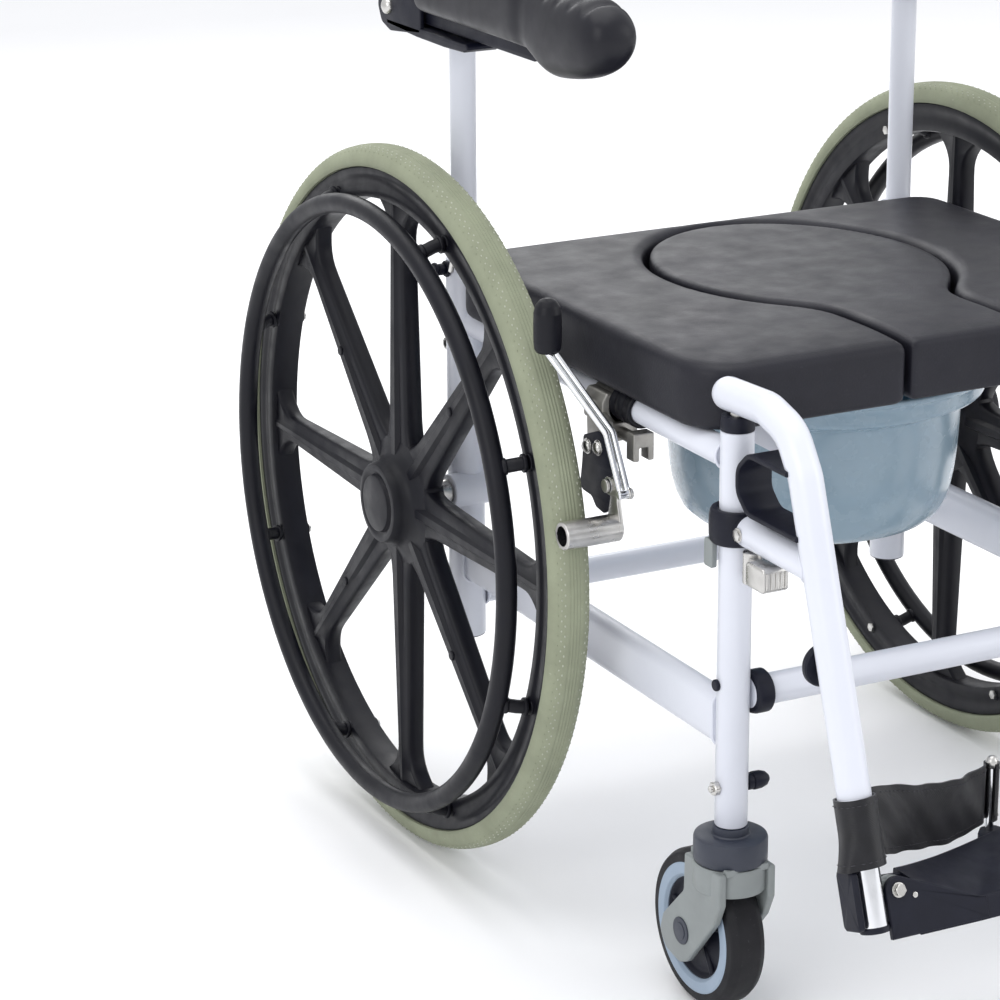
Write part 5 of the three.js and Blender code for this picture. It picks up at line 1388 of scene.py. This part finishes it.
s = Shell()
s.lathe([(8.0, -297), (10.4, -297), (11.0, -296.3), (11.0, -262), (11.0, -249.0), (10.2, -248.2), (0, -248.2)], NICKEL, 'X', (0, -309.3, 363.5), 48)
s.lathe([(8.0, -297), (8.0, -262), (0, -262)], CHROME, 'X', (0, -309.3, 363.5), 48)
arm = [(-303, 405), (-314.5, 405), (-315.5, 398), (-314, 386), (-318, 372), (-320, 362), (-312, 353), (-301, 355), (-298, 366), (-303, 386)]
s.prism(arm, 'YZ', -251.5, -247.9, NICKEL, edge=0.7, corner=[4, 4, 4, 8, 6, 6, 6, 6, 6, 8], n=5)
s.lathe([(4, -249.4), (9.2, -249.4), (9.8, -250.0), (9.8, -252.2), (9.0, -252.8), (4, -252.8)], CHROME, 'X', (0, -309.3, 363.5), 36, closed=True)
both("brake_shoe_{}_v", s, "brake_shoe_{}", "bright_metal", "brake_shoe_{}")

# ------------------------------------------------------------------ armrests
AX, AY, AZP = -256.0, 42.0, 718.0
s = Shell()
s.lathe([(11.5, 696.2), (15.6, 696.2), (17.0, 697.6), (17.0, 726.4), (15.8, 728.0), (11.5, 728.0)], NAVY, 'Z', (RX, RY, 0), 48, closed=True)
s.prism([(-2, 699), (22, 699), (22, 727), (-2, 727)], 'YZ', -243.2, -232, NAVY, edge=1.4, corner=4)
s.prism([(-18, 703.5), (40, 697.5), (56, 703), (62.5, 716), (60, 730), (52, 736.4), (-18, 736.4)], 'YZ', -271.2, -267.3, NAVY, edge=1.1, corner=[4, 12, 8, 8, 8, 6, 10], n=6)
s.prism([(-18, 703.5), (46, 703.5), (60, 712), (60, 730), (52, 736.2), (-18, 736.2)], 'YZ', -245.2, -241.2, NAVY, edge=1.1, corner=[4, 10, 8, 8, 6, 10], n=6)
floor = [(-100, 708), (-104, 704.6), (-96, 700.6), (-60, 699.4), (-10, 699.8), (46, 702.4), (46, 707.6), (-90, 707.6)]
s.prism(floor, 'YZ', -271.2, -241.2, NAVY, edge=1.4, corner=[2, 3, 6, 20, 20, 2, 1, 2], n=5)
s.rod((-275.4, AY, AZP), (-241, AY, AZP), 4, NICKEL, 24)
s.lathe([(0, -276.8), (3.4, -276.4), (6.2, -274.6), (7.0, -272.4), (7.0, -271.0), (0, -271.0)], NICKEL, 'X', (0, AY, AZP), 32)
s.rod((-235, RY - 14.5, 712), (-235, RY - 18.5, 712), 4.4, NICKEL, 24)
both("arm_bracket_{}_v", s, "frame", "dark_plastic", "arm_bracket_{}")

s = Shell()
s.prism([(-208, 713), (-203, 710.2), (42, 710.2), (42, 722.8), (-208, 722.8)], 'YZ', AX - 8, AX + 8, NAVY, edge=0.9, corner=[2, 6, 0, 0, 2], n=4)
s.lathe([(4.3, AX - 8), (8.4, AX - 8), (9, AX - 7.4), (9, AX + 7.4), (8.4, AX + 8), (4.3, AX + 8)], NICKEL, 'X', (0, AY, AZP), 40, closed=True)
both("arm_bar_{}_v", s, "armrest_{}", "bright_metal", "arm_bar_{}")


def arm_pad_shell():
    s = Shell()
    cx = -262.0
    # stations: y, z of the underside, z of the top, half width, squareness of the section
    st = [(-26.5, 735, 748, 10, 2.2), (-27.5, 727.5, 756, 18, 2.6), (-31, 724.0, 763.0, 21.3, 3.2), (-40, 723.6, 767.6, 22.2, 3.6), (-70, 723.6, 769.0, 22.4, 3.8), (-120, 723.6, 770.2, 22.4, 3.8),
          (-170, 723.6, 771.0, 22.8, 3.8), (-200, 723.4, 771.6, 23.6, 3.6), (-216, 721.6, 772.2, 24.4, 3.2), (-229, 716, 773, 25.0, 2.9), (-243, 709.8, 774, 25.6, 2.7), (-258, 707.2, 774.4, 26.2, 2.6), (-276, 708.4, 774.4, 26.6, 2.5),
          (-300, 712.0, 773.6, 26.6, 2.5), (-316, 716.4, 772.0, 25.8, 2.4), (-328, 721.4, 769.0, 24.0, 2.3), (-337, 728.0, 764.4, 20.6, 2.2), (-343, 735.4, 758.4, 15.0, 2.1), (-346, 744, 751, 6.5, 2.0)]
    st = [(y if y > -216 else -216 + (y + 216) * 0.90, a, b, w if y > -216 else w * 0.90, e) for y, a, b, w, e in st]
    # interpolate stations smoothly
    dense = []
    k = len(st)
    for i in range(k - 1):
        p0, p1, p2, p3 = st[max(i - 1, 0)], st[i], st[i + 1], st[min(i + 2, k - 1)]
        steps = max(2, int(abs(p2[0] - p1[0]) / 2.0))
        for j in range(steps):
            t = j / steps
            dense.append([0.5 * ((2 * a1) + (a2 - a0) * t + (2 * a0 - 5 * a1 + 4 * a2 - a3) * t * t + (3 * a1 - a0 - 3 * a2 + a3) * t ** 3) for a0, a1, a2, a3 in zip(p0, p1, p2, p3)])
    dense.append(list(st[-1]))
    rings = []
    m = 64
    for y, zb, zt, w, e in dense:
        zc, h = (zb + zt) / 2, (zt - zb) / 2
        ring = []
        for i in range(m):
            a = 2 * math.pi * i / m
            c, sn = math.cos(a), math.sin(a)
            x = w * math.copysign(abs(c) ** (2 / e), c)
            z = h * math.copysign(abs(sn) ** (2 / e), sn)
            yy = y
            # four finger ridges across the drooping nose
            if -319 < y < -239 and sn > 0.05:
                ph = (y + 239) / 20.0
                depth = 2.6 * (0.5 - 0.5 * math.cos(2 * math.pi * ph)) ** 3
                fall = max(0.0, 1 - (abs(x) / (w * 0.86)) ** 6) * min(1.0, (sn - 0.05) / 0.5)
                z -= depth * fall
            # seam line half way up the side
            if abs(sn) < 0.05:
                x *= 1.008
            ring.append((cx + x, yy, zc + z))
        rings.append(ring)
    s.loft(rings, ARM)
    return s


for o in both("arm_pad_{}_v", arm_pad_shell(), "armrest_{}", "arm_skin", "arm_pad_{}", sharp=80):
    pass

# ------------------------------------------------------------------ studio
floor_mat = material("studio_floor", (0.93, 0.93, 0.94), 0.85, vary=0.01, vary_scale=2, bumps=(('noise', 300, 0.0001, 0.1),), specular=0.2)
me = bpy.data.meshes.new("studio_floor")
me.from_pydata([(-9, -9, -0.0005), (9, -9, -0.0005), (9, 9, -0.0005), (-9, 9, -0.0005)], [], [(0, 1, 2, 3)])
me.materials.append(floor_mat)
fl = bpy.data.objects.new("studio_floor", me)
bpy.context.scene.collection.objects.link(fl)

world = bpy.data.worlds.new("studio")
world.use_nodes = True
bg = world.node_tree.nodes["Background"]
bg.inputs["Color"].default_value = (0.97, 0.98, 1.0, 1)
bg.inputs["Strength"].default_value = 0.95
bpy.context.scene.world = world
bpy.context.scene.view_settings.view_transform = 'Standard'


def area(name, loc, target, size, power, colour=(1, 1, 1)):
    l = bpy.data.lights.new(name, 'AREA')
    l.shape = 'RECTANGLE'
    l.size, l.size_y = size
    l.energy = power
    l.color = colour
    o = bpy.data.objects.new(name, l)
    bpy.context.scene.collection.objects.link(o)
    o.location = loc
    d = Vector(target) - Vector(loc)
    o.rotation_euler = d.to_track_quat('-Z', 'Y').to_euler()
    return o


area("softbox_top", (-0.3, 0.3, 3.2), (0, 0, 0.4), (3.0, 3.0), 54)
area("softbox_left", (-3.0, -1.6, 1.9), (0, 0, 0.45), (1.8, 2.2), 25)
area("softbox_right", (2.6, -2.2, 1.6), (0, 0, 0.4), (1.6, 2.0), 20)
area("rim_back", (0.6, 3.0, 2.2), (0, 0, 0.6), (2.4, 1.4), 30)

# ------------------------------------------------------------------ camera
cam = bpy.data.cameras.new("photo_view")
cam.sensor_width = 36.0
cam.lens = 119.5
cam.clip_end = 50
co = bpy.data.objects.new("photo_view", cam)
bpy.context.scene.collection.objects.link(co)
fwd = Vector((0.4337, 0.8458, -0.3106)).normalized()
right = Vector((0.8898, -0.4563, 0.0)).normalized()
upv = right.cross(fwd).normalized()
roll = math.radians(-0.34)
r2v = right * math.cos(roll) + upv * math.sin(roll)
u2v = -right * math.sin(roll) + upv * math.cos(roll)
m = Matrix((r2v, u2v, -fwd)).transposed().to_4x4()
m.translation = Vector((-1.4396, -2.4337 + Y0 * 0.001, 1.1813))
co.matrix_world = m
bpy.context.scene.camera = co

bpy.context.view_layer.update()
